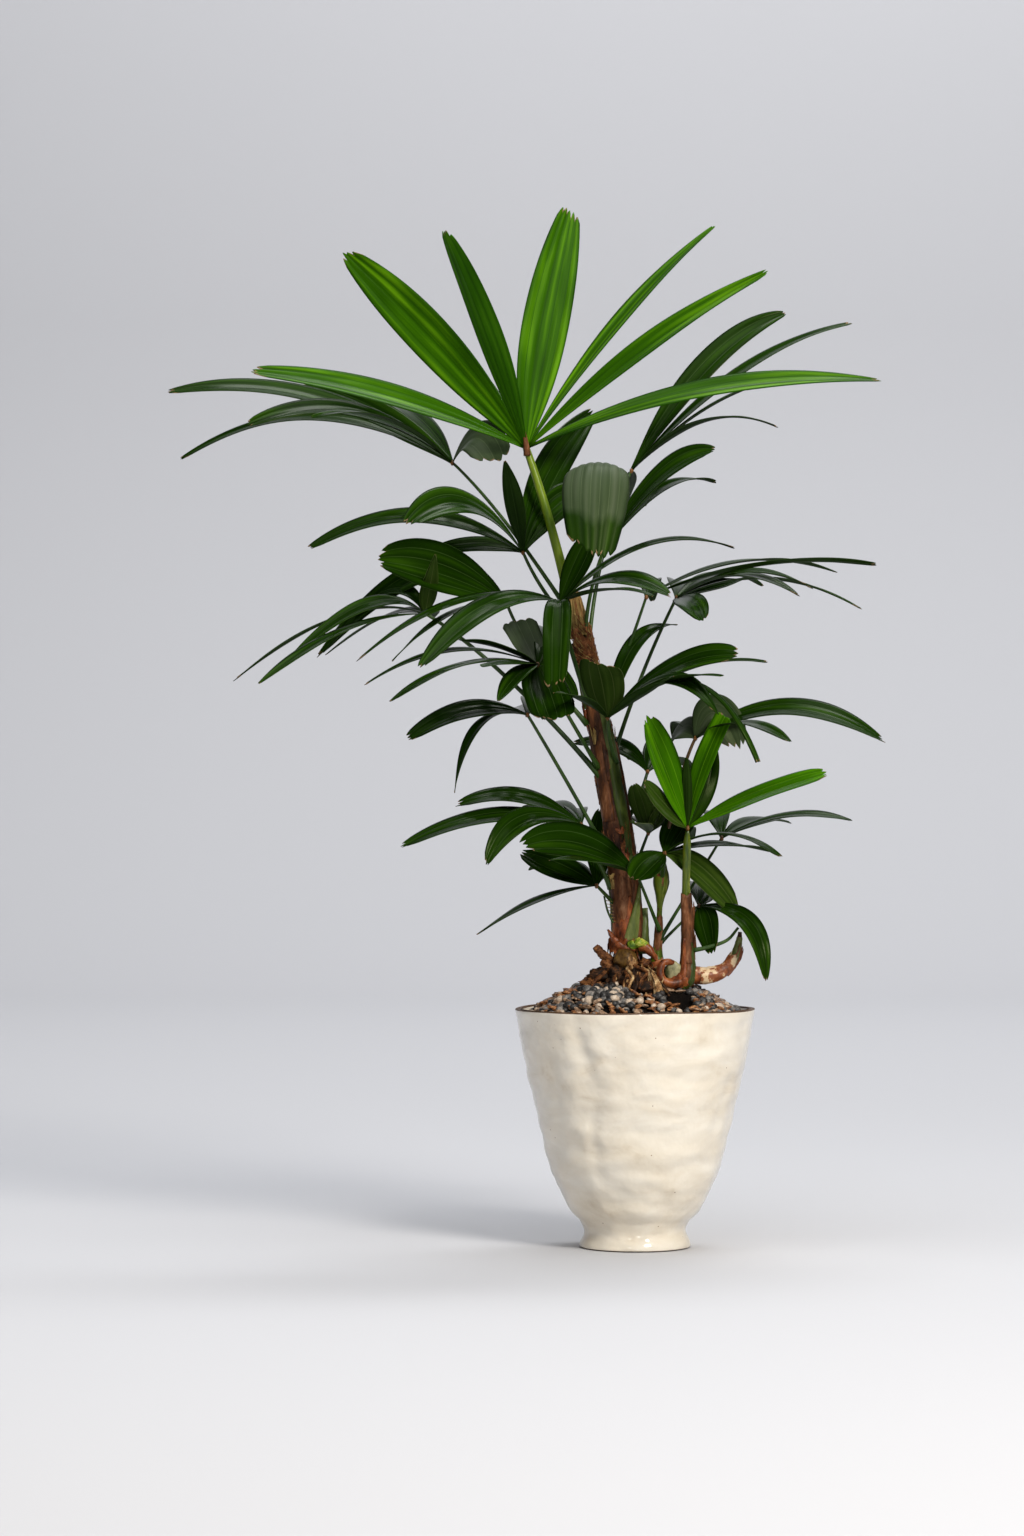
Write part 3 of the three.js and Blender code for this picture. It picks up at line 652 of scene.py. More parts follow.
def add_pot():
    outline = [Vector((r, 0, z)) for r, z in POT_OUTSIDE]
    outline = [woven(outline, i / OUTSIDE_STEPS) for i in range(OUTSIDE_STEPS + 1)]
    inside = [Vector((r, 0, z)) for r, z in POT_INSIDE]
    inside = [woven(inside, i / INSIDE_STEPS) for i in range(INSIDE_STEPS + 1)]
    underside = [Vector((0, 0, 0)), Vector((UNDERSIDE_RING, 0, 0))]
    profile = [*underside, *outline, *inside, Vector((0, 0, HIDDEN_FLOOR))]
    bm = bmesh.new()
    verts = [bm.verts.new(p * MM) for p in profile]
    edges = [bm.edges.new(pair) for pair in zip(verts, verts[1:])]
    bmesh.ops.spin(bm, geom=verts + edges, cent=(0, 0, 0), axis=(0, 0, 1), angle=math.tau, steps=POT_SIDES,
                   use_merge=True)
    bmesh.ops.remove_doubles(bm, verts=bm.verts, dist=1e-5)
    bmesh.ops.recalc_face_normals(bm, faces=bm.faces)
    for f in bm.faces:
        middle = f.calc_center_median() / MM
        lip = middle.z > POT_HEIGHT - LIP_DEPTH and math.hypot(middle.x, middle.y) > RIM_RADIUS - WALL
        f.material_index = 1 if lip or middle.z < BARE_FOOT else 0
    for v in bm.verts:
        radius = math.hypot(v.co.x, v.co.y)
        height = v.co.z / MM
        turn = math.atan2(v.co.x, -v.co.y)
        if radius > INNERMOST_WALL and height > 1:
            fade = min(1, (height - 1) / FOOT_FADE)
            fade *= 1 - RIM_CALM * max(0, (height - RIM_FADE[0]) / RIM_FADE[1])
            v.co += Vector((v.co.x, v.co.y, 0)) / radius * pot_relief(turn, height) * fade * MM
        if height > POT_HEIGHT - LIP_ZONE:
            v.co.z += rim_wave(turn) * MM
    piece("pot_body", bm, [GLAZE, BARE_CLAY], ["pot"])


# ---------------------------------------------------------------- gravel
def mound_height(radius):
    for (r1, z1), (r2, z2) in zip(GRAVEL_SLOPE, GRAVEL_SLOPE[1:]):
        if r2 <= radius <= r1:
            return z1 + (z2 - z1) * (r1 - radius) / (r1 - r2)
    return GRAVEL_SLOPE[0][1]


HOLLOW = ((37, -50), (15, 19))  # the dug-out place under the near sucker: its middle and its reach
HOLLOW_DEPTH = 12
ROOT_MASS = ((5, -30), (22, 27))  # what lies over the gravel at the stem's front
SMOOTH_STONES = ((-26, -46), (17, 17))  # where only round stones lie
SOIL_RIM = (99.5, 190)
SOIL_UNDER = 3  # the soil lies this far under the top of the pebbles
SOIL_SIDES = 96
SOIL_LUMPS = 2.2
SOIL_EDGE = 0.09  # metres; past this radius the soil is left smooth, beside the pot's wall


def off_middle(x, y, patch):
    """How far a point of the gravel is from the middle of an oval patch: 1 at its edge."""
    (middle_x, middle_y), (reach_x, reach_y) = patch
    return math.hypot((x - middle_x) / reach_x, (y - middle_y) / reach_y)


def hollow(x, y):
    """How deep in the dug-out place a point is, from 0 to 1."""
    return max(0, 1 - off_middle(x, y, HOLLOW) ** 2)


def add_soil():
    bm = bmesh.new()
    verts = [bm.verts.new(place(r, 0, z - SOIL_UNDER)) for r, z in (SOIL_RIM, *GRAVEL_SLOPE)]
    edges = [bm.edges.new(pair) for pair in zip(verts, verts[1:])]
    bmesh.ops.subdivide_edges(bm, edges=edges, cuts=4)
    bmesh.ops.spin(bm, geom=bm.verts[:] + bm.edges[:], cent=(0, 0, 0), axis=(0, 0, 1), angle=math.tau,
                   steps=SOIL_SIDES, use_merge=True)
    bmesh.ops.remove_doubles(bm, verts=bm.verts, dist=1e-5)
    rim = [e for e in bm.edges if e.is_boundary]
    bmesh.ops.holes_fill(bm, edges=rim, sides=0)
    bmesh.ops.recalc_face_normals(bm, faces=bm.faces)
    for v in bm.verts:
        if math.hypot(v.co.x, v.co.y) < SOIL_EDGE:
            dip = HOLLOW_DEPTH * MM * hollow(v.co.x / MM, v.co.y / MM)
            v.co.z += SOIL_LUMPS * MM * noise.noise(v.co * 90) - dip
    piece("soil_bed", bm, [SOIL], ["gravel"])


PEBBLE_SHARES = {"charcoal": 0.26, "slate": 0.15, "tan": 0.32, "rust": 0.20, "pale": 0.07}
ROUND_KINDS = ("charcoal", "slate", "pale")
SMOOTH_KINDS = ("charcoal", "slate", "charcoal", "slate", "pale")
PEBBLE_TRIES = 1350
PEBBLE_FIELD = 97.5  # radius
GRAVEL_RADIUS = 98.5  # a stone's middle stays its own size inside this
STONE_SIZES = [(1.8, 2.8), (2.8, 4.2), (4.2, 5.6)]
SIZE_SHARES = (3, 6, 4)
SMOOTH_SIZES = (4.0, 5.4)
BEDDING = (-2.2, 1.0)  # how far a stone's middle may lie off the mound
SUNK_SHARE = 0.1  # of its size, by which a round stone lies deeper
ROUND_FLATNESS = (0.65, 0.95)
CHIP_FLATNESS = (0.26, 0.45)
CHIP_LENGTH = (1.0, 1.5)
STONE_WIDTH = (0.65, 0.95)
ROUND_LEAN = 0.35  # radians
CHIP_LEAN = 0.6
ROUND_DENTS = 0.16
CHIP_DENTS = 0.5


def pebble(bm, where, size, round_stone, draw):
    """One stone: a ball pressed flat, turned and dented; a chip is flatter and longer."""
    flat = draw.uniform(*ROUND_FLATNESS) if round_stone else draw.uniform(*CHIP_FLATNESS)
    long = 1.0 if round_stone else draw.uniform(*CHIP_LENGTH)
    shape = Matrix.Diagonal((size * long, size * draw.uniform(*STONE_WIDTH), size * flat, 1))
    lean = ROUND_LEAN if round_stone else CHIP_LEAN
    tilt = Matrix.Rotation(draw.uniform(-lean, lean), 4, "X")
    tilt = tilt @ Matrix.Rotation(draw.uniform(-lean, lean), 4, "Y")
    turn = Matrix.Translation(where) @ tilt @ Matrix.Rotation(draw.uniform(0, math.tau), 4, "Z") @ shape
    stone = bmesh.ops.create_icosphere(bm, subdivisions=2, radius=1)
    seed = Vector((draw.uniform(0, 50), draw.uniform(0, 50), 0))
    bumps = ROUND_DENTS if round_stone else CHIP_DENTS
    for v in stone["verts"]:
        dent = bumps * noise.noise(v.co * 1.1 + seed) + 0.1 * noise.noise(v.co * 2.9 + seed)
        v.co = turn @ (v.co * (1 + dent))


def add_gravel():
    draw = random.Random(11)
    beds = {kind: bmesh.new() for kind in PEBBLES}
    for i in range(PEBBLE_TRIES):
        radius = PEBBLE_FIELD * math.sqrt((i + 0.5) / PEBBLE_TRIES)
        angle = i * GOLDEN_ANGLE + draw.uniform(-0.05, 0.05)
        kind = draw.choices(list(PEBBLE_SHARES), list(PEBBLE_SHARES.values()))[0]
        size = draw.choices([draw.uniform(*sizes) for sizes in STONE_SIZES], SIZE_SHARES)[0]
        radius = min(radius, GRAVEL_RADIUS - size)
        x, y = radius * math.cos(angle), radius * math.sin(angle)
        if hollow(x, y) > 0.05 or off_middle(x, y, ROOT_MASS) < 1:
            continue
        if off_middle(x, y, SMOOTH_STONES) < 1:
            kind = draw.choice(SMOOTH_KINDS)
            size = draw.uniform(*SMOOTH_SIZES)
        sunk = SUNK_SHARE if kind in ROUND_KINDS else 0.0
        where = place(x, y, mound_height(radius) + draw.uniform(*BEDDING) - sunk * size)
        pebble(beds[kind], where, size * MM, kind in ROUND_KINDS, draw)
    for kind, bm in beds.items():
        piece(f"pebbles_{kind}", bm, [PEBBLES[kind]])


# ---------------------------------------------------------------- stem
STEM_TOP = 590
STEM_BASE_RADIUS = 13.5
STEM_TIP_RADIUS = 6.5
FLARE = 9
FLARE_HEIGHT = 12


def stem_radius(share):
    taper = STEM_BASE_RADIUS + (STEM_TIP_RADIUS - STEM_BASE_RADIUS) * share**3
    return taper + FLARE * math.exp(-share * (STEM_TOP - GROUND) / FLARE_HEIGHT)


def swelling(share, middle, reach):
    """1 at a place along a limb, and fading to nothing on both sides of it."""
    return math.exp(-(((share - middle) / reach) ** 2))


def near_sucker_radius(share):
    """A waist, a swollen hook and a neck that thins and closes under its fan."""
    neck = min(1, max(0, (0.8 - share) / 0.05))
    hook = swelling(share, 0.37, 0.16)
    waist = swelling(share, 0.17, 0.1)
    return 3.5 + 0.8 * neck + 4.2 * hook - 1.5 * waist - 60 * max(0, share - 0.96)


def far_sucker_radius(share):
    """A flared foot, a waist and a swelling bud that tapers at its top."""
    foot = math.exp(-share * 14)
    waist = swelling(share, 0.5, 0.1)
    bud = swelling(share, 0.78, 0.13)
    return 3.2 + 2.5 * foot - 1.2 * waist + 3.9 * bud - 1.6 * max(0, share - 0.85) / 0.15


def horn_radius(share):
    return 1.2 + 6.6 * (1 - share) ** 0.95


STEM = Cane([(-7, 0, GROUND), (-3, 0, 330), (-25, 0, 450), (-58, 0, STEM_TOP)], stem_radius)
NEAR_SUCKER = Cane(
    [(18, -18, 257), (26, -22, 244), (44, -24, 243.5), (46, -24, 275), (45, -26, 325), (46, -34, 376)],
    near_sucker_radius, woven)
FAR_SUCKER = Cane([(20, 4, GROUND + ROOT_HEIGHT), (22, 5, 300), (25, 3, 352)], far_sucker_radius)
HORN = Cane([(49, -21, 246), (84, -14, 238), (92, -12, 262), (94, -12, 284)], horn_radius)
BARK_DEPTH = 1.3  # the bark lies this far under the sheaths


def add_stem():
    rough = lumps(2.6, 1.2)
    bm = limb(STEM, 48, 180, lambda share, turn: rough(share, turn) - BARK_DEPTH)
    piece("stem_bark", bm, [BARK], ["stem"])


SHEATH_LOOKS = {
    "brown": SHEATH_BROWN, "green": SHEATH_GREEN, "pale": SHEATH_PALE, "orange": SHEATH_ORANGE,
    "fibre": FIBRE_BROWN, "straw": FIBRE_STRAW, "bark": BARK, "flaky": SHEATH_FLAKY, "leafy": STALK_LIME,
    "hollow": HOLLOW_SKIN, "spindle": SPINDLE,
}
STEM_LOOKS = ("brown", "green", "pale", "orange", "fibre", "straw", "bark")
FLAKE_LOOKS = ("brown", "brown", "orange", "fibre", "straw")
FLAKE_COUNT = 46
SHEATH_THICKNESS = 0.5
SUCKER_SHEATH_THICKNESS = 0.45
# The sheaths of shed and living leaves that wrap the stem: look, lowest and highest point, first and last
# turn, lift, and what shapes the outline.
STEM_SHEATHS = [
    ("brown", 272, 352, -118, 30, 0.4, dict(ragged=0.22, lean=6)),
    ("orange", 269, 298, -112, 40, 0.9, dict(ragged=0.9, skirt=4.2, lean=-6, seed=3)),
    ("brown", 290, 446, 22, 150, 1.1, dict(taper=0.45, ragged=0.1, lean=22)),
    ("green", 284, 340, -104, -62, 0.9, dict(taper=0.7)),
    ("pale", 276, 327, -18, 36, 3.2, dict(taper=0.97, lean=54, sink=-1.2)),
    ("brown", 278, 334, 24, 84, 2.2, dict(taper=0.85, lean=14, seed=5)),
    ("green", 264, 304, 42, 112, 6.0, dict(taper=0.9, lean=6)),
    ("green", 330, 486, -6, 84, 0.6, dict(taper=0.1, root=0.8, lean=-4)),
    ("bark", 420, 486, -22, 12, 0.9, dict(taper=0.6, root=0.5, lean=8)),
    ("brown", 355, 440, 84, 138, 0.4, dict(ragged=0.2, taper=0.3)),
    ("brown", 384, 463, -95, -6, 0.5, dict(ragged=0.35, flare=0.6, seed=8)),
    ("brown", 430, 532, -80, 66, 0.2, dict(ragged=0.15, lean=12, seed=2)),
    ("green", 486, 545, -104, -56, 1.2, dict(taper=0.93)),
    ("fibre", 516, 556, -60, 112, 1.8, dict(ragged=0.5, flare=1.6, seed=5)),
    ("straw", 550, 589, -75, 112, 0.6, dict(ragged=0.15, seed=6)),
    ("brown", 500, 556, 100, 250, 0.8, dict(ragged=0.3, seed=12)),
    ("green", 430, 520, 120, 205, 0.7, dict(taper=0.8)),
    ("brown", 350, 440, 150, 275, 0.7, dict(ragged=0.3, seed=14)),
    ("green", 300, 400, 170, 230, 1.0, dict(taper=0.8)),
    ("orange", 268, 292, 110, 250, 0.9, dict(ragged=0.6, skirt=2.6, seed=16)),
    ("brown", 276, 335, 118, 262, 0.5, dict(ragged=0.3, flare=0.6, seed=17)),
]


def add_stem_sheaths():
    kinds = {look: bmesh.new() for look in STEM_LOOKS}
    for look, low, high, first, last, lift, shape in STEM_SHEATHS:
        add_to(kinds[look], wrap(STEM, STEM.share_at(low), STEM.share_at(high), first, last, lift, **shape))
    draw = random.Random(8)
    for i in range(FLAKE_COUNT):
        low = draw.uniform(505, 552) if i % 2 else draw.uniform(300, 500)
        turn = draw.uniform(0, 360)
        flake = wrap(
            STEM, STEM.share_at(low), STEM.share_at(low + draw.uniform(6, 17)), turn,
            turn + draw.uniform(16, 48), draw.uniform(0.8, 1.9), ragged=0.8, flare=draw.uniform(0.2, 1.4),
            root=0.5, lean=draw.uniform(-10, 16), seed=i + 20, across=8, rows=8)
        add_to(kinds[draw.choice(FLAKE_LOOKS)], flake)
    for look, bm in kinds.items():
        thicken(piece(f"stem_sheath_{look}", bm, [SHEATH_LOOKS[look]]), SHEATH_THICKNESS)


STRAIGHT_FIBRES = 80
SLANTED_FIBRES = 90
BUNDLED_FIBRES = 30
TORN_EDGES = (463, 352, 372, 520)  # heights
FIBRES_PER_EDGE = 16
ALONG_FIBRE = (0, 0.35, 0.7, 1)
FIBRE_TIP = 0.15


def add_fibres():
    """Dry fibres: straight up the straw-coloured stretch, aslant below it and loose at the torn edges."""
    draw = random.Random(3)
    straw = bmesh.new()
    brown = bmesh.new()
    for _ in range(STRAIGHT_FIBRES):
        low = STEM.share_at(draw.uniform(549, 566))
        high = STEM.share_at(draw.uniform(572, 590))
        turn = draw.uniform(-95, 125)
        points = [over(STEM, low + (high - low) * t, turn + 14 * t, 0.8 + draw.uniform(0, 0.6))
                  for t in ALONG_FIBRE]
        strand(draw.choice((straw, straw, brown)), points, draw.uniform(0.22, 0.45), FIBRE_TIP)
    for _ in range(SLANTED_FIBRES):
        low = STEM.share_at(draw.uniform(518, 552))
        turn = draw.uniform(-80, 60)
        climb = draw.uniform(0.02, 0.055)
        points = [over(STEM, low + climb * (1 - t), turn + 55 * t, 1.5 + draw.uniform(0, 1.0))
                  for t in ALONG_FIBRE]
        strand(draw.choice((straw, brown, brown)), points, draw.uniform(0.25, 0.6), FIBRE_TIP)
    for _ in range(BUNDLED_FIBRES):
        low = STEM.share_at(draw.uniform(520, 556))
        turn = draw.uniform(50, 115)
        points = [over(STEM, low + 0.014 * t, turn + 24 * t, 1.2 + draw.uniform(1, 2.4) * t)
                  for t in ALONG_FIBRE]
        strand(brown, points, draw.uniform(0.3, 0.6), FIBRE_TIP)
    for edge in TORN_EDGES:
        for _ in range(FIBRES_PER_EDGE):
            share = STEM.share_at(edge + draw.uniform(-8, 3))
            turn = draw.uniform(-90, 90)
            points = [over(STEM, share + 0.02 * t, turn + draw.uniform(-9, 9) * t, 0.7 + 1.2 * t)
                      for t in (0, 0.5, 1)]
            strand(brown, points, 0.28, 0.12)
    piece("fibres_straw", straw, [FIBRE_STRAW])
    piece("fibres_brown", brown, [FIBRE_BROWN])


# ---------------------------------------------------------------- roots
ROOT_COUNT = 9
ROOT_LENGTH = 42
ROOT_RADIUS = 4
HEART = (-6, -2, GROUND + ROOT_HEIGHT)
ROOT_WOODS = {"dark": ROOT_DARK, "tan": ROOT_TAN, "pale": ROOT_PALE}
FINE_ROOT_COUNT = 74
FINE_ROOT_RADII = (0.8, 1.1, 1.6, 2.2, 2.9)
FRONT_ROOT_COUNT = 40
FRONT_ROOT_RADII = (0.45, 0.6, 0.8, 1.2, 1.9)
FRONT_ROOT_FALL = [(9, 2, 0.3), (19, 8, 0.6), (27, 14, 0.85), (33, 22, 1)]  # out, down, share of the sway
OLD_WOOD = [  # where, size, wood
    ((-6, 2, 248), (26, 21, 11), "dark"), ((14, -8, 243), (15, 14, 10), "dark"),
    ((-24, -13, 254), (6, 5, 7), "tan"), ((-33, -12, 245), (10, 8, 6), "dark"),
    ((-41, -15, 238), (9, 8, 5), "tan"), ((-18, -20, 248), (6, 5, 6), "dark"),
    ((-4, -26, 256), (4, 3, 7), "pale"), ((8, 10, 250), (14, 12, 9), "dark"),
    ((3, -26, 241), (16, 13, 9), "dark"), ((7, -40, 235), (14, 11, 6), "dark"),
    ((8, -21, 256), (5, 4, 4), "tan"), ((-13, -26, 242), (6, 4, 5), "dark"),
]
WEDGE_ROOT = [(5, -22, 252), (12, -34, 246), (18, -45, 238), (20, -52, 227)]
STUB_FOOT = (-16, -9, 254)
STUBS = [  # bend, tip, radius at the foot and at the tip
    ((-28, -10, 261), (-36, -9, 271), 5.4, 3.2),
    ((-24, -16, 254), (-31, -16, 258), 4, 2),
]


def level_way(angle):
    return Vector((math.cos(angle), math.sin(angle), 0))


def add_main_roots(woods, heart):
    """Stout roots all round, from the stem's heart down into the gravel."""
    for i in range(ROOT_COUNT):
        length = ROOT_LENGTH * (0.8 + 0.2 * math.cos(3 * i))
        outward = level_way(i * GOLDEN_ANGLE)
        crest = heart + outward * length * 0.6 - UP * ROOT_HEIGHT / 3
        end = heart + outward * length - UP * (ROOT_HEIGHT - 1)
        root = Cane([heart, crest, end], lambda share: ROOT_RADIUS * (1 - share * 2 / 3))
        add_to(woods[("dark", "tan", "dark")[i % 3]], limb(root, 12, 26, lumps(1.6, 0.9, i * 3.0)))


def add_fine_roots(woods, heart, draw):
    """Finer roots that hump over the gravel and dive into it."""
    for i in range(FINE_ROOT_COUNT):
        outward = level_way(i * GOLDEN_ANGLE + 1.1)
        aside = Vector((-outward.y, outward.x, 0))
        near = draw.uniform(9, 17)
        length = draw.uniform(12, 34)
        hump = draw.uniform(-3, 5)
        sway = draw.uniform(-9, 9)
        points = [heart + outward * (near - 6) + UP * draw.uniform(-5, 1)]
        for t in (0.3, 0.6, 0.85, 1):
            spot = heart + outward * (near + length * t) + aside * (sway * t + draw.uniform(-3, 3))
            ground = mound_height(math.hypot(spot.x, spot.y))
            spot.z = ground + 1.2 + (1 - t) ** 0.8 * (8 + hump) if t < 1 else ground - 4
            points.append(spot)
        thick = draw.choice(FINE_ROOT_RADII)
        root = Cane(points, lambda share: thick * (1 - 0.55 * share), woven)
        wood = draw.choice(("dark", "tan", "tan", "pale"))
        add_to(woods[wood], limb(root, 9, 24, lumps(1.6, 0.35, i * 2.0)))


def add_front_roots(woods, draw):
    """Thin roots that fall from the stem's front like a fringe."""
    for i in range(FRONT_ROOT_COUNT):
        lean = -0.4 + 0.03 * i + draw.uniform(-0.1, 0.1)
        top = Vector((lean * 20 + 2, -17 - draw.uniform(0, 5), 253 + draw.uniform(-7, 4)))
        fall = draw.uniform(0.55, 1.1)
        curl = draw.uniform(-6, 6)
        points = [top]
        for out, drop, share in FRONT_ROOT_FALL:
            aside = lean * 15 * share + curl * math.sin(share * 7) + draw.uniform(-1.5, 1.5)
            points.append(top + Vector((aside, -out * fall, -drop)))
        thick = draw.choice(FRONT_ROOT_RADII)
        strand(woods[draw.choice(("pale", "tan", "dark", "dark"))], points, thick, thick * 0.6, 8, 22)


def add_stubs(woods):
    """A stout root that widens as it dives, and the stubs of old shoots."""
    wedge = Cane(WEDGE_ROOT, lambda share: 2.0 + 3.0 * share, woven)
    add_to(woods["pale"], limb(wedge, 14, 24, lumps(2.2, 0.9, 5)))
    for bend, tip, thick, thin in STUBS:
        stub = Cane([STUB_FOOT, bend, tip], lambda share: thick + (thin - thick) * share)
        add_to(woods["tan"], limb(stub, 14, 24, lumps(1.8, 0.9, thick)))


def add_roots():
    draw = random.Random(21)
    woods = {wood: bmesh.new() for wood in ROOT_WOODS}
    heart = Vector(HEART)
    add_main_roots(woods, heart)
    add_fine_roots(woods, heart, draw)
    for where, size, wood in OLD_WOOD:
        knot(woods[wood], where, size, 0.55, where[0])
    add_front_roots(woods, draw)
    add_stubs(woods)
    for wood, finish in ROOT_WOODS.items():
        piece(f"roots_{wood}", woods[wood], [finish])


# ---------------------------------------------------------------- foot and suckers
BULB = ((-9, -17, 260), (10.5, 9.5, 9.5))  # where, size
LINING = ((33.5, -28.3, 249.5), (7.4, 3, 9.2))
KNOB_LUMPS = [
    ((-2.5, -19, 272.5), (4.9, 3.6, 3.6)),
    ((3.5, -20, 274.5), (5.0, 4.0, 4.3)),
    ((8.5, -19, 272.3), (3.4, 3.2, 3.5)),
]
FOOT_SCALES = [  # start, bend, end, radius
    ((5, -16, 272), (13, -20, 270), (20, -20, 257), 5.4),
    ((-12, -15, 272), (-19, -15, 276), (-25, -13, 286), 3.8),
    ((-16, -15, 274), (-10, -19, 269), (0, -18, 268), 3.6),
]
SHEATH_LIP = [
    (34, -27, 256), (29, -31, 258), (23.5, -32.5, 256), (21.5, -34, 248), (24.5, -34, 241.5),
    (32, -33, 238.5), (41, -31, 240),
]


def add_foot():
    """What sits round the stem's foot: a bulb, a pale knob, red scales and the near sucker's open sheath."""
    bulb = bmesh.new()
    knot(bulb, *BULB, 0.14, 4, 1.6)
    piece("foot_bulb", bulb, [BULB_SKIN])
    knob = bmesh.new()
    for where, size in KNOB_LUMPS:
        knot(knob, where, size, 0.4, where[0], 2.4)
    piece("foot_knob", knob, [KNOB])
    lining = bmesh.new()
    knot(lining, *LINING, 0.12, 2)
    piece("hollow_lining", lining, [HOLLOW_SKIN])
    scales = bmesh.new()
    for start, bend, end, thick in FOOT_SCALES:
        scale = Cane([start, bend, end], lambda share: thick * (1 - 0.8 * share**1.5))
        add_to(scales, limb(scale, 14, 18, lumps(1.4, 0.7, thick)))
    strand(scales, SHEATH_LIP, 2.6, 4.2, 12, 40)
    piece("foot_scales", scales, [SHEATH_ORANGE])


# The sheaths of the suckers and of the horn: as the stem's, but their lowest and highest point are shares.
NEAR_SHEATHS = [
    ("brown", 0.50, 0.775, -178, 178, 0.7, dict(ragged=0.05, flare=0.4, seed=1)),
    ("brown", 0.60, 0.72, 30, 130, 1.5, dict(ragged=0.5, flare=1.5, seed=4)),
    ("brown", 0.52, 0.60, 60, 150, 1.4, dict(ragged=0.7, flare=2.0, seed=9)),
    ("brown", 0.0, 0.40, -178, 178, 0.3, dict(seed=12)),
    ("brown", 0.38, 0.52, -178, 178, 0.3, dict(seed=13)),
    ("orange", 0.0, 0.36, -175, 175, 1.0, dict(ragged=0.3, skirt=2.4, seed=2)),
    ("orange", 0.26, 0.62, -66, 8, 1.3, dict(taper=0.6, root=0.2)),
    ("green", 0.33, 0.64, 8, 120, 1.0, dict(taper=0.5, root=0.3)),
    ("hollow", 0.14, 0.44, 120, 240, 1.1, dict(taper=0.5, root=0.5)),
    ("leafy", 0.775, 0.985, 5, 52, 0.3, dict(taper=0.2)),
]
FAR_SHEATHS = [
    ("brown", 0.0, 0.44, -178, 178, 0.8, dict(ragged=0.15, seed=2)),
    ("spindle", 0.0, 0.14, -140, 120, 1.6, dict(ragged=0.6, taper=0.5, seed=5)),
    ("spindle", 0.40, 0.99, -178, 178, 0.3, dict(seed=3)),
    ("leafy", 0.50, 0.90, -10, 80, 0.8, dict(root=0.6, taper=0.8)),
]
HORN_SHEATHS = [
    ("orange", 0.02, 0.36, -170, 120, 0.6, dict(ragged=0.3, seed=1)),
    ("flaky", 0.08, 0.60, -75, 95, 1.2, dict(ragged=0.5, root=0.3, seed=2)),
    ("flaky", 0.30, 0.70, -120, 40, 1.5, dict(ragged=0.6, root=0.4, flare=0.8, seed=3)),
    ("orange", 0.40, 0.72, 40, 150, 1.5, dict(ragged=0.7, root=0.4, flare=1.6, seed=4)),
    ("flaky", 0.34, 0.68, 100, 250, 1.2, dict(ragged=0.5, root=0.4, seed=5)),
    ("flaky", 0.0, 0.30, -150, 10, 1.0, dict(ragged=0.7, root=0.4, flare=0.8, seed=9)),
    ("pale", 0.58, 0.93, -175, 175, 1.1, dict(taper=0.2, seed=6)),
    ("brown", 0.90, 0.995, -175, 175, 0.3, dict(seed=7)),
]


def add_suckers():
    near = limb(NEAR_SUCKER, 28, 80, lumps(1.6, 0.25))
    piece("near_sucker_cane", near, [STALK_LIME], ["sucker_near"])
    far = limb(FAR_SUCKER, 24, 50, lumps(1.6, 0.3, 4))
    piece("far_sucker_cane", far, [SHEATH_BROWN], ["sucker_far"])
    horn = limb(HORN, 28, 50, lumps(1.8, 0.7, 8))
    piece("horn_core", horn, [SHEATH_ORANGE], ["horn_shoot"])
    for name, cane, sheaths, slot in [("near_sucker", NEAR_SUCKER, NEAR_SHEATHS, "young_cane"),
                                      ("far_sucker", FAR_SUCKER, FAR_SHEATHS, "cane"),
                                      ("horn", HORN, HORN_SHEATHS, "shoot_scale")]:
        for look in sorted({row[0] for row in sheaths}):
            bm = bmesh.new()
            for kind, low, high, first, last, lift, shape in sheaths:
                if kind == look:
                    add_to(bm, wrap(cane, low, high, first, last, lift, across=24, sink=0.4, **shape))
            made = piece(f"{name}_sheath_{look}", bm, [SHEATH_LOOKS[look]])
            thicken(made, SUCKER_SHEATH_THICKNESS)


FURLED_SPEAR = [(-97, -3, 712), (-99, -6, 728), (-106, -8, 752)]
DRY_POINT = [(-56, -6, 584), (-58, -7, 596), (-62, -7, 610)]
BROKEN_STALK = [(52, -25, 268), (66, -24, 271), (82, -22, 277), (92, -20, 288)]
BROKEN_STUMP = [(-20, -12, 292), (-25, -10, 303), (-28, -8, 316)]
TEETH = 7
TEETH_FOOT = 294  # height
TEETH_STEP = 3


def add_dry_bits():
    """The furled spear in the crown, a dry point below it, two broken stalks and the teeth beside one."""
    brown = bmesh.new()
    strand(brown, FURLED_SPEAR, 3.4, 0.5, 12, 20)
    strand(brown, DRY_POINT, 3.2, 0.6, 10, 14)
    piece("dry_spear", brown, [SHEATH_BROWN])
    stalk = bmesh.new()
    strand(stalk, BROKEN_STALK, 2.2, 1.2, 10, 20)
    strand(stalk, BROKEN_STUMP, 1.1, 0.8, 8, 12)
    piece("broken_stalk", stalk, [STALK_GREEN])
    pale = bmesh.new()
    for i in range(TEETH):
        height = TEETH_FOOT + TEETH_STEP * i
        strand(pale, [(-21.5 - 0.85 * i, -11, height), (-18 - 0.5 * i, -13, height - 0.6)], 0.35, 0.25, 5, 4)
    piece("stalk_teeth", pale, [FIBRE_STRAW])


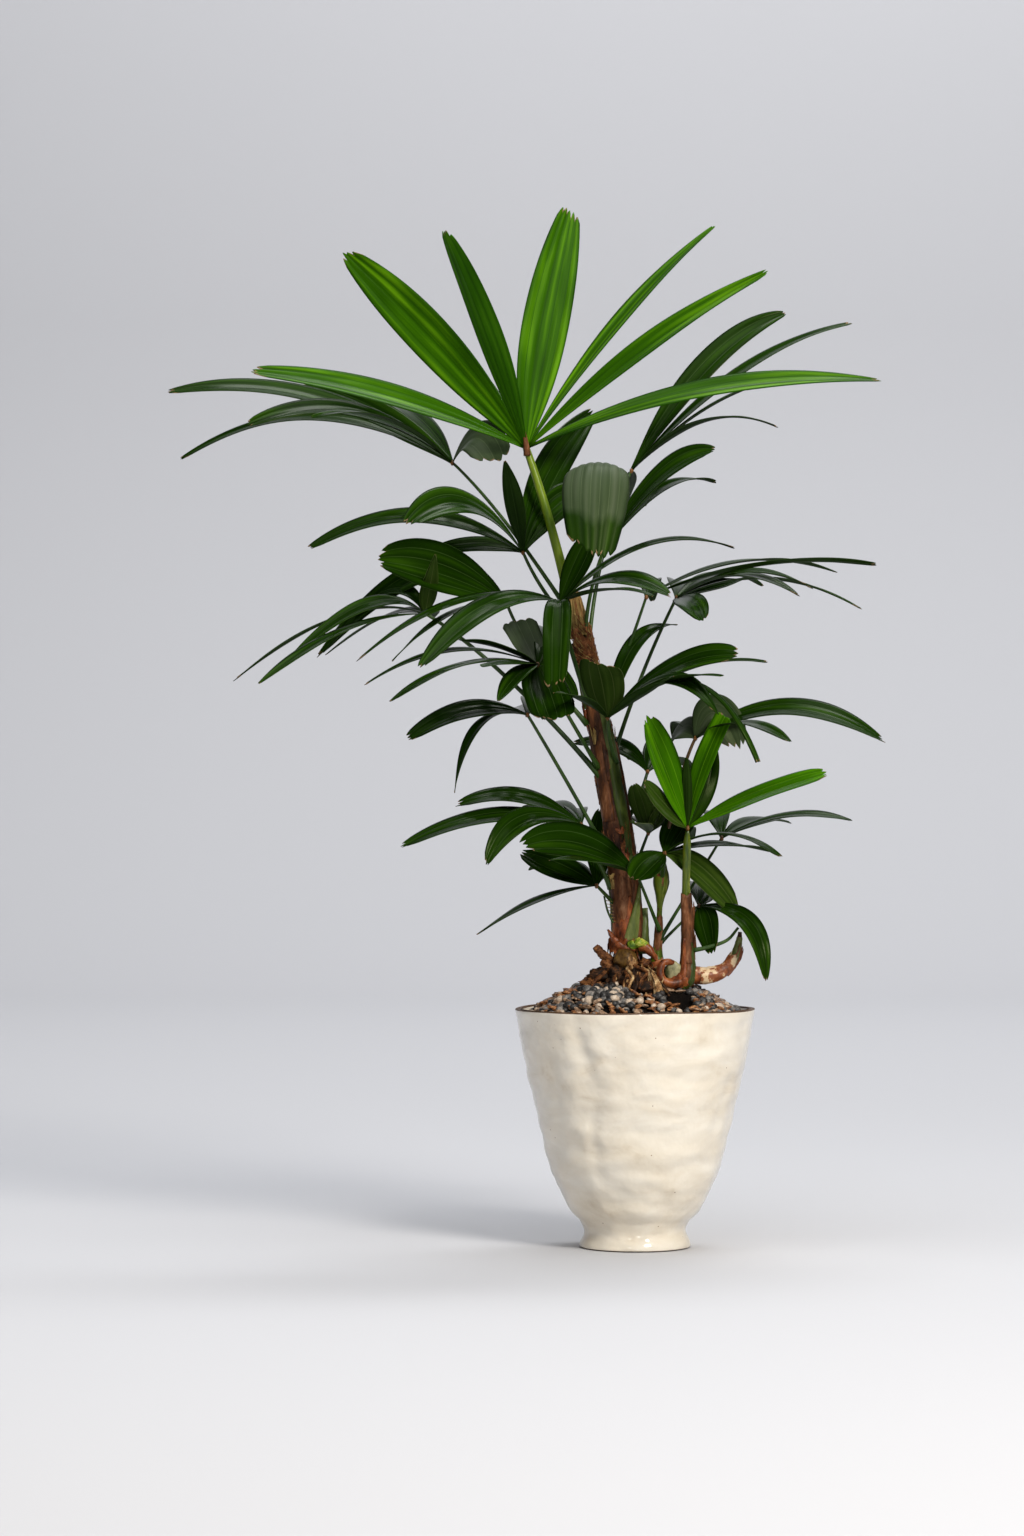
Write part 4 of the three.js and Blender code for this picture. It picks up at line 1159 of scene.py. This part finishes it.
# ---------------------------------------------------------------- leaves
# The leaves, from the crown down. foot: where the stalk leaves its stem; bow: how far the stalk's middle
# stands off the straight line; hub: where the leaflets meet; radius: of the stalk at its foot.
# A leaflet: (reach right, reach away, reach up, arch, width, turn to the front in degrees, place of the
# knee, share of its width left at its tip, and its look where that isn't its leaf's own).
LEAVES = [
    dict(name="frond_01", foot=(-56, 0, 571), bow=(0, 0, 8), hub=(-98, 0, 719), radius=4.8, tone="bright",
         stalk="bright", leaflets=[
        (-250, -60, 65, 15, 30, 45), (-170, 100, 190, 7, 38, 80), (-72, -140, 182, 15, 34, 15),
        (42, 120, 233, 18, 40, 15, 0.3, 0.33), (175, 90, 212, 18, 22, 10), (215, -70, 152, 15, 32, 45),
        (320, -10, 60, 24, 26, 38), (-105, 200, 130, 6, 28, 40), (15, 220, 115, 14, 30, 0)]),
    dict(name="frond_02", foot=(-60, 5, 572), bow=(-4, 0, 13), hub=(-165, 45, 709), radius=1.9, leaflets=[
        (-260, -20, 62, 31, 26, 38), (-185, -90, 26, 33, 26, 35), (-255, 60, 5, 43, 24, 28),
        (-145, 140, 85, 9, 28, 40), (-65, 190, 72, 9, 24, 20),
        (42, -45, -8, 27, 38, 50, 0.5, 0.6, "waxy"), (-125, -110, 32, 22, 22, 10)]),
    dict(name="frond_03", foot=(-42, 5, 537), bow=(-6, 0, 6), hub=(-2, 50, 702), radius=1.9, leaflets=[
        (145, 60, 150, 28, 26, 40), (205, 20, 137, 26, 26, 15), (180, -30, 82, 28, 24, 10),
        (130, -90, 32, 27, 22, 5), (-15, 160, -45, 8, 26, 20)]),
    dict(name="frond_04", foot=(-45, -3, 544), bow=(-4, 0, 0), hub=(-28, -20, 628), radius=2, leaflets=[
        (100, -40, 85, 24, 30, 45), (105, 60, 62, 26, 24, 10), (40, 150, 45, 26, 26, 10),
        (-13, -110, -21, 75, 59, 0, 0.5, 0.5, "waxy")]),
    dict(name="frond_05", foot=(-60, -2, 562), bow=(-3, 0, -1), hub=(-101, -10, 625), radius=2, leaflets=[
        (68, 130, 138, 26, 30, 50, 0.2), (70, 60, 55, 21, 30, 45), (-16, -150, 72, 6, 18, 0),
        (-105, -100, 15, 36, 34, 45), (-195, -20, 0, 33, 28, 35), (-92, 20, -4, 10, 22, 40)]),
    dict(name="frond_06", foot=(-43, -3, 470), bow=(-10, 0, 5), hub=(-116, -20, 580), radius=2, leaflets=[
        (-115, -60, 35, 12, 44, 75), (0, 150, 0, 8, 22, 0), (-100, -80, -55, 16, 16, 0),
        (-170, 10, -50, 50, 28, 45, 0.35)]),
    dict(name="frond_07", foot=(-30, -5, 422), bow=(-8, 0, 18), hub=(-188, -30, 569), radius=2.3, leaflets=[
        (5, 120, 0, 8, 20, 20), (10, -60, 50, 4, 17, 0, 0.2, 0.05, "olive"),
        (-100, 40, -40, 36, 22, 30, 0.25), (-117, -50, -40, 26, 22, 25, 0.35),
        (-172, -10, -61, 26, 26, 5, 0.4), (-145, -90, -65, 17, 20, 5), (-95, 110, -35, 14, 22, 20, 0.3)]),
    dict(name="frond_08", foot=(-42, -8, 490), bow=(-3, -8, 2), hub=(-68, -45, 579), radius=2.2, leaflets=[
        (-180, -60, -55, 28, 26, 10), (-125, -120, -65, 28, 26, 30), (-5, -70, -79, 28, 23, 0, 0.5, 0.7),
        (100, -70, 0, 21, 28, 25), (80, -120, 0, 10, 20, 0, 0.6), (160, 60, 50, 29, 24, 5),
        (32, 10, 70, 1, 26, 40)]),
    dict(name="frond_09", foot=(-26, 3, 487), bow=(0, 0, -3), hub=(10, -5, 585), radius=1.8, leaflets=[
        (205, -60, 26, 16, 24, 0), (180, 90, 25, 23, 24, 0), (10, 150, 0, 20, 22, 0)]),
    dict(name="frond_10", foot=(-21, 3, 436), bow=(-2, 0, 4), hub=(38, 20, 585), radius=2, leaflets=[
        (65, 70, 20, 5, 28, 20), (125, -20, 6, 22, 26, 10), (110, -70, -3, 22, 26, 10),
        (170, 20, -10, 24, 24, 0), (20, -110, -25, 8, 26, 20), (10, 140, 5, 18, 22, 10),
        (85, 120, 15, 18, 22, 10)]),
    dict(name="frond_11", foot=(-33, -8, 431), bow=(-1, -6, 2), hub=(-88, -60, 523), radius=2, leaflets=[
        (-20, 40, 44, 2, 33, 0, 0.5, 0.9, "waxy"), (15, 110, 20, 24, 18, 10), (-70, -60, 20, 6, 22, 5),
        (-155, -20, -20, 23, 22, 5), (-130, -70, -35, 18, 22, 5), (-50, -150, -5, 3, 20, 5),
        (-90, -100, -10, 8, 22, 5), (-35, -130, -35, 9, 20, 5), (15, -60, -50, 2, 42, 0),
        (38, 25, -38, 12, 30, 45, 0.65)]),
    dict(name="frond_12", foot=(-21, -5, 347), bow=(-5, 0, 10), hub=(-97, -20, 479), radius=2, leaflets=[
        (-110, -40, -25, 17, 30, 30), (-65, -25, -70, 38, 16, 10, 0.85), (15, 130, -5, 18, 24, 10),
        (-20, 170, 5, 6, 26, 20)]),
    dict(name="frond_13", foot=(-17, -8, 436), bow=(-2, -3, 0), hub=(-25, -30, 476), radius=2, leaflets=[
        (-10, -60, 50, 7, 38, 0, 0.5, 0.6, "olive"), (-50, -140, 20, 7, 16, 5),
        (65, 70, 85, 36, 20, 10, 0.25), (115, -60, 55, 19, 30, 40, 0.5, 0.4), (145, 20, 50, 20, 22, 5),
        (55, -130, 35, 4, 20, 5), (100, -100, 35, 15, 22, 5), (95, -90, 0, 35, 22, 30, 0.6),
        (130, -75, -40, 53, 10, 5, 0.65)]),
    dict(name="frond_14", foot=(24, 8, 339), bow=(-1, 0, 12), hub=(54, -10, 458), radius=2, stalk="brown",
         leaflets=[
        (170, -30, -5, 31, 32, 30), (80, -100, -5, 17, 22, 10),
        (-25, 40, -10, 14, 28, 50, 0.5, 0.55, "waxy"), (40, -10, -15, 30, 34, 65, 0.35, 0.05, "waxy"),
        (-15, 130, 0, 18, 22, 10)]),
    dict(name="frond_15", foot=(-8, 5, 382), bow=(2, 0, 0), hub=(12, 25, 428), radius=2, leaflets=[
        (-70, 15, 25, 15, 26, 30, 0.3), (20, 60, 35, 3, 24, 30), (-10, 150, 10, 12, 24, 10),
        (45, 130, 0, 16, 24, 10)]),
    dict(name="frond_16", hub=(46, -35, 378), tone="fresh", leaflets=[
        (-38, -30, 100, 7, 34, 80, 0.4, 0.5), (5, 130, 45, 14, 24, 0),
        # the fourth leaflet takes the old leaves' dark green: painted shade on a leaflet of this fresh leaf
        (33, -8, 101, 18, 19, 60, 0.1, 0.85), (26, 30, 74, -12, 20, 60, 0.8, 0.15, "dark"),
        (-1, -2, 62, 0, 11, 0, 0.5, 0.2, "dark"), (125, -30, 50, 6, 30, 30, 0.5, 0.35),
        (-42, -40, 44, -2, 24, 65, 0.5, 0.1, "olive")]),
    dict(name="frond_17", foot=(24, 5, 326), hub=(26, -20, 355), radius=2.4, leaflets=[
        (22, 40, 35, 4, 26, 20), (105, -30, -5, 21, 22, 0), (100, 30, 0, 9, 26, 10),
        (-30, -50, -25, 5, 26, 30), (68, 20, -57, 12, 29, 60, 0.5, 0.3, "olive"),
        (30, 130, 10, 16, 24, 0)]),
    dict(name="frond_18", foot=(22, 3, 276), hub=(79, 20, 368), radius=1.7, leaflets=[
        (120, -10, 15, 14, 26, 10), (70, 110, 12, 10, 24, 10), (-5, 120, 15, 18, 24, 10)]),
    dict(name="frond_19", foot=(-4, 5, 330), hub=(12, 0, 373), radius=1.8, tone="olive", leaflets=[
        (-15, -60, 45, 3, 22, 10), (10, 60, 40, 3, 34, 10), (20, -40, 30, 10, 26, 40),
        (-15, -100, 10, 4, 20, 10), (-20, 120, 0, 16, 22, 0)]),
    dict(name="frond_20", foot=(24, 5, 274), hub=(58, 12, 307), radius=1.5, leaflets=[
        (15, 60, 15, 1, 18, 10), (-5, 60, -15, 2, 18, 10), (10, -40, -45, 9, 24, 40),
        (57, -60, -67, 37, 22, 25, 1), (0, 120, 10, 16, 20, 0)]),
    dict(name="frond_21", foot=(-22, -5, 323), hub=(-49, -30, 381), radius=2.2, leaflets=[
        (-115, -20, 15, 19, 30, 30, 0.5, 0.1), (-162, -60, -21, 19, 30, 25, 0.5, 0.12),
        (-85, -70, -36, 28, 24, 40, 0.72), (-10, 130, -5, 18, 22, 0), (-55, 150, 5, 16, 26, 10)]),
    dict(name="frond_22", foot=(22, 0, 285), hub=(1, -32, 336), radius=1.8, leaflets=[
        (-105, -60, 25, 18, 35, 65), (-80, -110, 15, 7, 18, 10)]),
    dict(name="frond_23", foot=(-17, -3, 307), hub=(-35, -20, 326), radius=2, leaflets=[
        (-110, -40, -45, 10, 24, 5), (-70, 60, 30, 2, 28, 40), (5, 60, 70, -1, 24, 30),
        (-60, 140, 10, 14, 24, 10), (20, 120, 0, 16, 22, 0)]),
]

LEAFLET_LOOKS = ("own", "tip", "waxy", "olive", "dark")  # two materials each, for the top and the underside
LEAFLET_DEFAULTS = (0, 0, 0, 0, 0, 0, 0.5, None, "own")  # what a leaflet has where its row stops short
LEAFLET_FOLD = 0.1  # of its width
BLADE_THICKNESS = 0.5
LEAFLET_ROWS = 32
ROW_CROWDING = 1.35  # how much closer the rows lie at the tip
RIB_SPACING = 8.5
QUADS_PER_RIB = 4
TOOTH_DEPTH = 5.5
TWIST = 14  # degrees, either way
DOME_ARCH = 50  # past this arch a leaflet is a dome, with its edges down
DOME_FOLD = (1.6, 2.2)  # how far it folds along its middle, and how round the fold is
PLAIN_FOLD = (-1, 1.3)
POINTED_WIDTH = 16  # up to this width a leaflet ends in a point
BLUNT_RANGE = 14  # and it is fully blunt when it is this much wider
STOUT_WIDTH = 0.38  # share of its length, from which a leaflet is stout
STOUT_RANGE = 0.1
ARC_STEPS = 12
DRY_ROWS = 1.5  # at the tip, where a face may be dry
DRY_SHARE = 0.3
UV_LENGTH = 0.34  # metres of a leaflet for one turn of V


def clamped(value):
    return min(1, max(0, value))


def leaflet_width(share, tip, fullness, stout, domed):
    """Share of the full width at a share of the length: narrow at the hub, fullest past the middle."""
    if domed:
        return math.sin(math.pi * (0.93 * share) ** 1.6) ** 0.6
    waist = 1 - 0.9 * math.exp(-((share / (0.26 - 0.08 * stout)) ** 1.3))
    return waist * (1 - (1 - tip) * share**fullness) / (0.82 + 0.14 * stout)


def leaflet(bm, maps, hub, spec, strip, draw):
    """One leaflet: a grid bent along its arc, pleated along its ribs and cut into teeth at its tip."""
    right, away, up, arch, width, turn, knee, tip, look = spec + LEAFLET_DEFAULTS[len(spec):]
    domed = arch > DOME_ARCH
    reach = place(right, away, up)
    crest = hub + reach * knee + UP * 2 * arch * MM
    points = [hub, crest, hub + reach]
    stations = [bezier(points, i / ARC_STEPS) for i in range(ARC_STEPS + 1)]
    length = sum((a - b).length for a, b in zip(stations, stations[1:]))
    level = reach.cross(UP).normalized()
    front = -level if level.y > 0 else level
    angle = math.radians(turn)
    ribs = max(2, round(width / RIB_SPACING))
    blunt = clamped((width - POINTED_WIDTH) / BLUNT_RANGE)
    stout = clamped((width * MM / reach.length - STOUT_WIDTH) / STOUT_RANGE)
    if tip is None:
        tip = 0.05 + 0.15 * blunt + 0.4 * stout
    fullness = 2.5 + 1.7 * blunt + 5 * stout
    fold_way, crease = DOME_FOLD if domed else PLAIN_FOLD
    pleats = 0.8 if domed else 0.35 + 0.3 * blunt - 0.4 * stout
    to_share = blunt * MM / length
    tooth = [draw.uniform(0, 4) * to_share for _ in range(ribs)]
    notches = [draw.uniform(0.6, 1.2) * TOOTH_DEPTH * (1 - 0.5 * stout) * to_share for _ in range(ribs + 1)]
    corners = [draw.uniform(2, 9) * to_share for _ in range(2)]
    slant = draw.uniform(-5, 5) * to_share
    twist = math.radians(draw.uniform(-TWIST, TWIST))
    wave = draw.uniform(0, math.tau)
    earlier_faces = len(bm.faces)
    grid = bmesh.ops.create_grid(bm, x_segments=LEAFLET_ROWS, y_segments=ribs * QUADS_PER_RIB, size=0.5)
    spots = {v: (v.co.x + 0.5, v.co.y + 0.5) for v in grid["verts"]}
    for v, (row, across) in spots.items():
        side = 2 * across - 1
        rib = min(int(across * ribs), ribs - 1)
        in_rib = across * ribs - rib
        notch = abs(2 * in_rib - 1) ** 1.6 * notches[rib + (in_rib > 0.5)]
        end = 1 - notch - tooth[rib] - corners[side > 0] * abs(side) ** 3 - slant * side - abs(slant)
        share = (1 - (1 - row) ** ROW_CROWDING) * end
        centre = bezier(points, share)
        along = (bezier(points, min(share + NUDGE, 1)) - bezier(points, max(share - NUDGE, 0))).normalized()
        swing = angle + twist * share**2
        face = level.cross(along) * math.cos(swing) + front * math.sin(swing)
        sideways = along.cross(face).normalized()
        half = width * leaflet_width(share, tip, fullness, stout, domed) / 2 * MM
        fold = fold_way * 2 * half * LEAFLET_FOLD * (1 - abs(side) ** crease)
        pleat = pleats * MM * abs(math.sin(math.pi * across * ribs)) * min(1, share * 8)
        ripple = 0.9 * MM * math.sin(share * 9 + wave) * side * share
        v.co = centre - sideways * side * half + face * (fold + pleat + ripple)
    # the faces are taken in the order they were made in, so that every run dries the same ones
    for f in bm.faces[earlier_faces:]:
        lowest_row = min(spots[v][0] for v in f.verts)
        dry = lowest_row > 1 - DRY_ROWS / LEAFLET_ROWS and draw.random() < DRY_SHARE
        f.material_index = 2 * LEAFLET_LOOKS.index("tip" if dry else look)
        for loop in f.loops:
            row, across = spots[loop.vert]
            along_v = row * length / UV_LENGTH
            loop[maps[0]].uv = ((strip + 0.02 + 0.96 * across) / STRIPS, along_v)
            loop[maps[1]].uv = (strip * 10 + across * ribs, along_v)


def add_blades(leaf, draw):
    """A leaf's leaflets in one piece, with its own look and the others that a leaflet may take."""
    bm = bmesh.new()
    maps = [bm.loops.layers.uv.new(name) for name in ("blade", "ribs")]
    hub = place(*leaf["hub"])
    for strip, spec in enumerate(leaf["leaflets"]):
        leaflet(bm, maps, hub, spec, strip, draw)
    tone = leaf.get("tone", "dark")
    under = UNDER_TONES[tone]
    materials = [LEAF_TONES[tone], under, DRY_TIP, DRY_TIP, PAINTED_SHEEN_LEAF, under, LEAF_TONES["olive"],
                 UNDER_TONES["olive"], LEAF_TONES["dark"], UNDER_TONES["dark"]]
    made = piece(f"{leaf['name']}_leaflets", bm, materials, [f"{leaf['name']}_blade"])
    thicken(made, BLADE_THICKNESS, 1)


def add_leaves():
    draw = random.Random(5)
    for leaf in LEAVES:
        add_blades(leaf, draw)


STALK_LOOKS = {"green": STALK_GREEN, "bright": STALK_BRIGHT, "brown": STALK_BROWN}
STALK_TAPER = 0.3
STALK_FLARE = 0.5  # at its foot
HUB_SCALE_SIZE = (1.7, 1.7, 2.3)
HUB_SCALE_SHIFT = (0, -1.2, -0.5)


def stalk_cane(leaf):
    foot, hub, bow = (Vector(leaf.get(key, (0, 0, 0))) for key in ("foot", "hub", "bow"))
    crest = (foot + hub) / 2 + 2 * bow
    radius = leaf["radius"]
    return Cane([foot, crest, hub],
                lambda share: radius * (1 - STALK_TAPER * share) * (1 + STALK_FLARE * math.exp(-share * 14)))


def add_stalks():
    """The stalks, in one piece for each look, and the knot of scales where each leaf's leaflets meet."""
    stalks = {look: bmesh.new() for look in STALK_LOOKS}
    stands_for = {look: [] for look in STALK_LOOKS}
    for leaf in LEAVES:
        if "foot" in leaf:
            look = leaf.get("stalk", "green")
            add_to(stalks[look], limb(stalk_cane(leaf), 14, 24, lumps(1.2, 0.08)))
            stands_for[look].append(f"{leaf['name']}_stalk")
    scales = bmesh.new()
    for leaf in LEAVES:
        where = [at + shift for at, shift in zip(leaf["hub"], HUB_SCALE_SHIFT)]
        knot(scales, where, HUB_SCALE_SIZE, 0.3, where[0])
    piece("hub_scales", scales, [HUB_SCALE])
    for look, bm in stalks.items():
        piece(f"stalks_{look}", bm, [STALK_LOOKS[look]], stands_for[look])


# ---------------------------------------------------------------- floor and backdrop, in metres
SWEEP_WIDTH = 18
SWEEP_FRONT = -8
SWEEP_WALL = 5.8
SWEEP_TOP = 8
BEND_RADIUS = 1.4
BEND_STEPS = 15
SWEEP_GREY = (0.56, 0.56, 0.58)


def add_stage():
    """A floor that bends up into a wall behind the plant."""
    bend_start = SWEEP_WALL - BEND_RADIUS
    profile = [(SWEEP_FRONT, 0)]
    for i in range(BEND_STEPS + 1):
        angle = math.pi / 2 * i / BEND_STEPS
        profile.append((bend_start + BEND_RADIUS * math.sin(angle), BEND_RADIUS * (1 - math.cos(angle))))
    profile.append((SWEEP_WALL, SWEEP_TOP))
    bm = bmesh.new()
    verts = [bm.verts.new((-SWEEP_WIDTH / 2, y, z)) for y, z in profile]
    edges = [bm.edges.new(pair) for pair in zip(verts, verts[1:])]
    swept = bmesh.ops.extrude_edge_only(bm, edges=edges)["geom"]
    far_side = [g for g in swept if isinstance(g, bmesh.types.BMVert)]
    bmesh.ops.translate(bm, vec=(SWEEP_WIDTH, 0, 0), verts=far_side)
    mesh = bpy.data.meshes.new("studio_sweep")
    bm.to_mesh(mesh)
    bm.free()
    mesh.materials.append(Finish("pale_sweep", SWEEP_GREY, 0.85).material)
    smoothed(mesh)
    sweep = bpy.data.objects.new("studio_sweep", mesh)
    bpy.context.scene.collection.objects.link(sweep)


add_stage()
add_pot()
add_soil()
add_gravel()
add_stem()
add_stem_sheaths()
add_fibres()
add_roots()
add_foot()
add_suckers()
add_dry_bits()
add_stalks()
add_leaves()
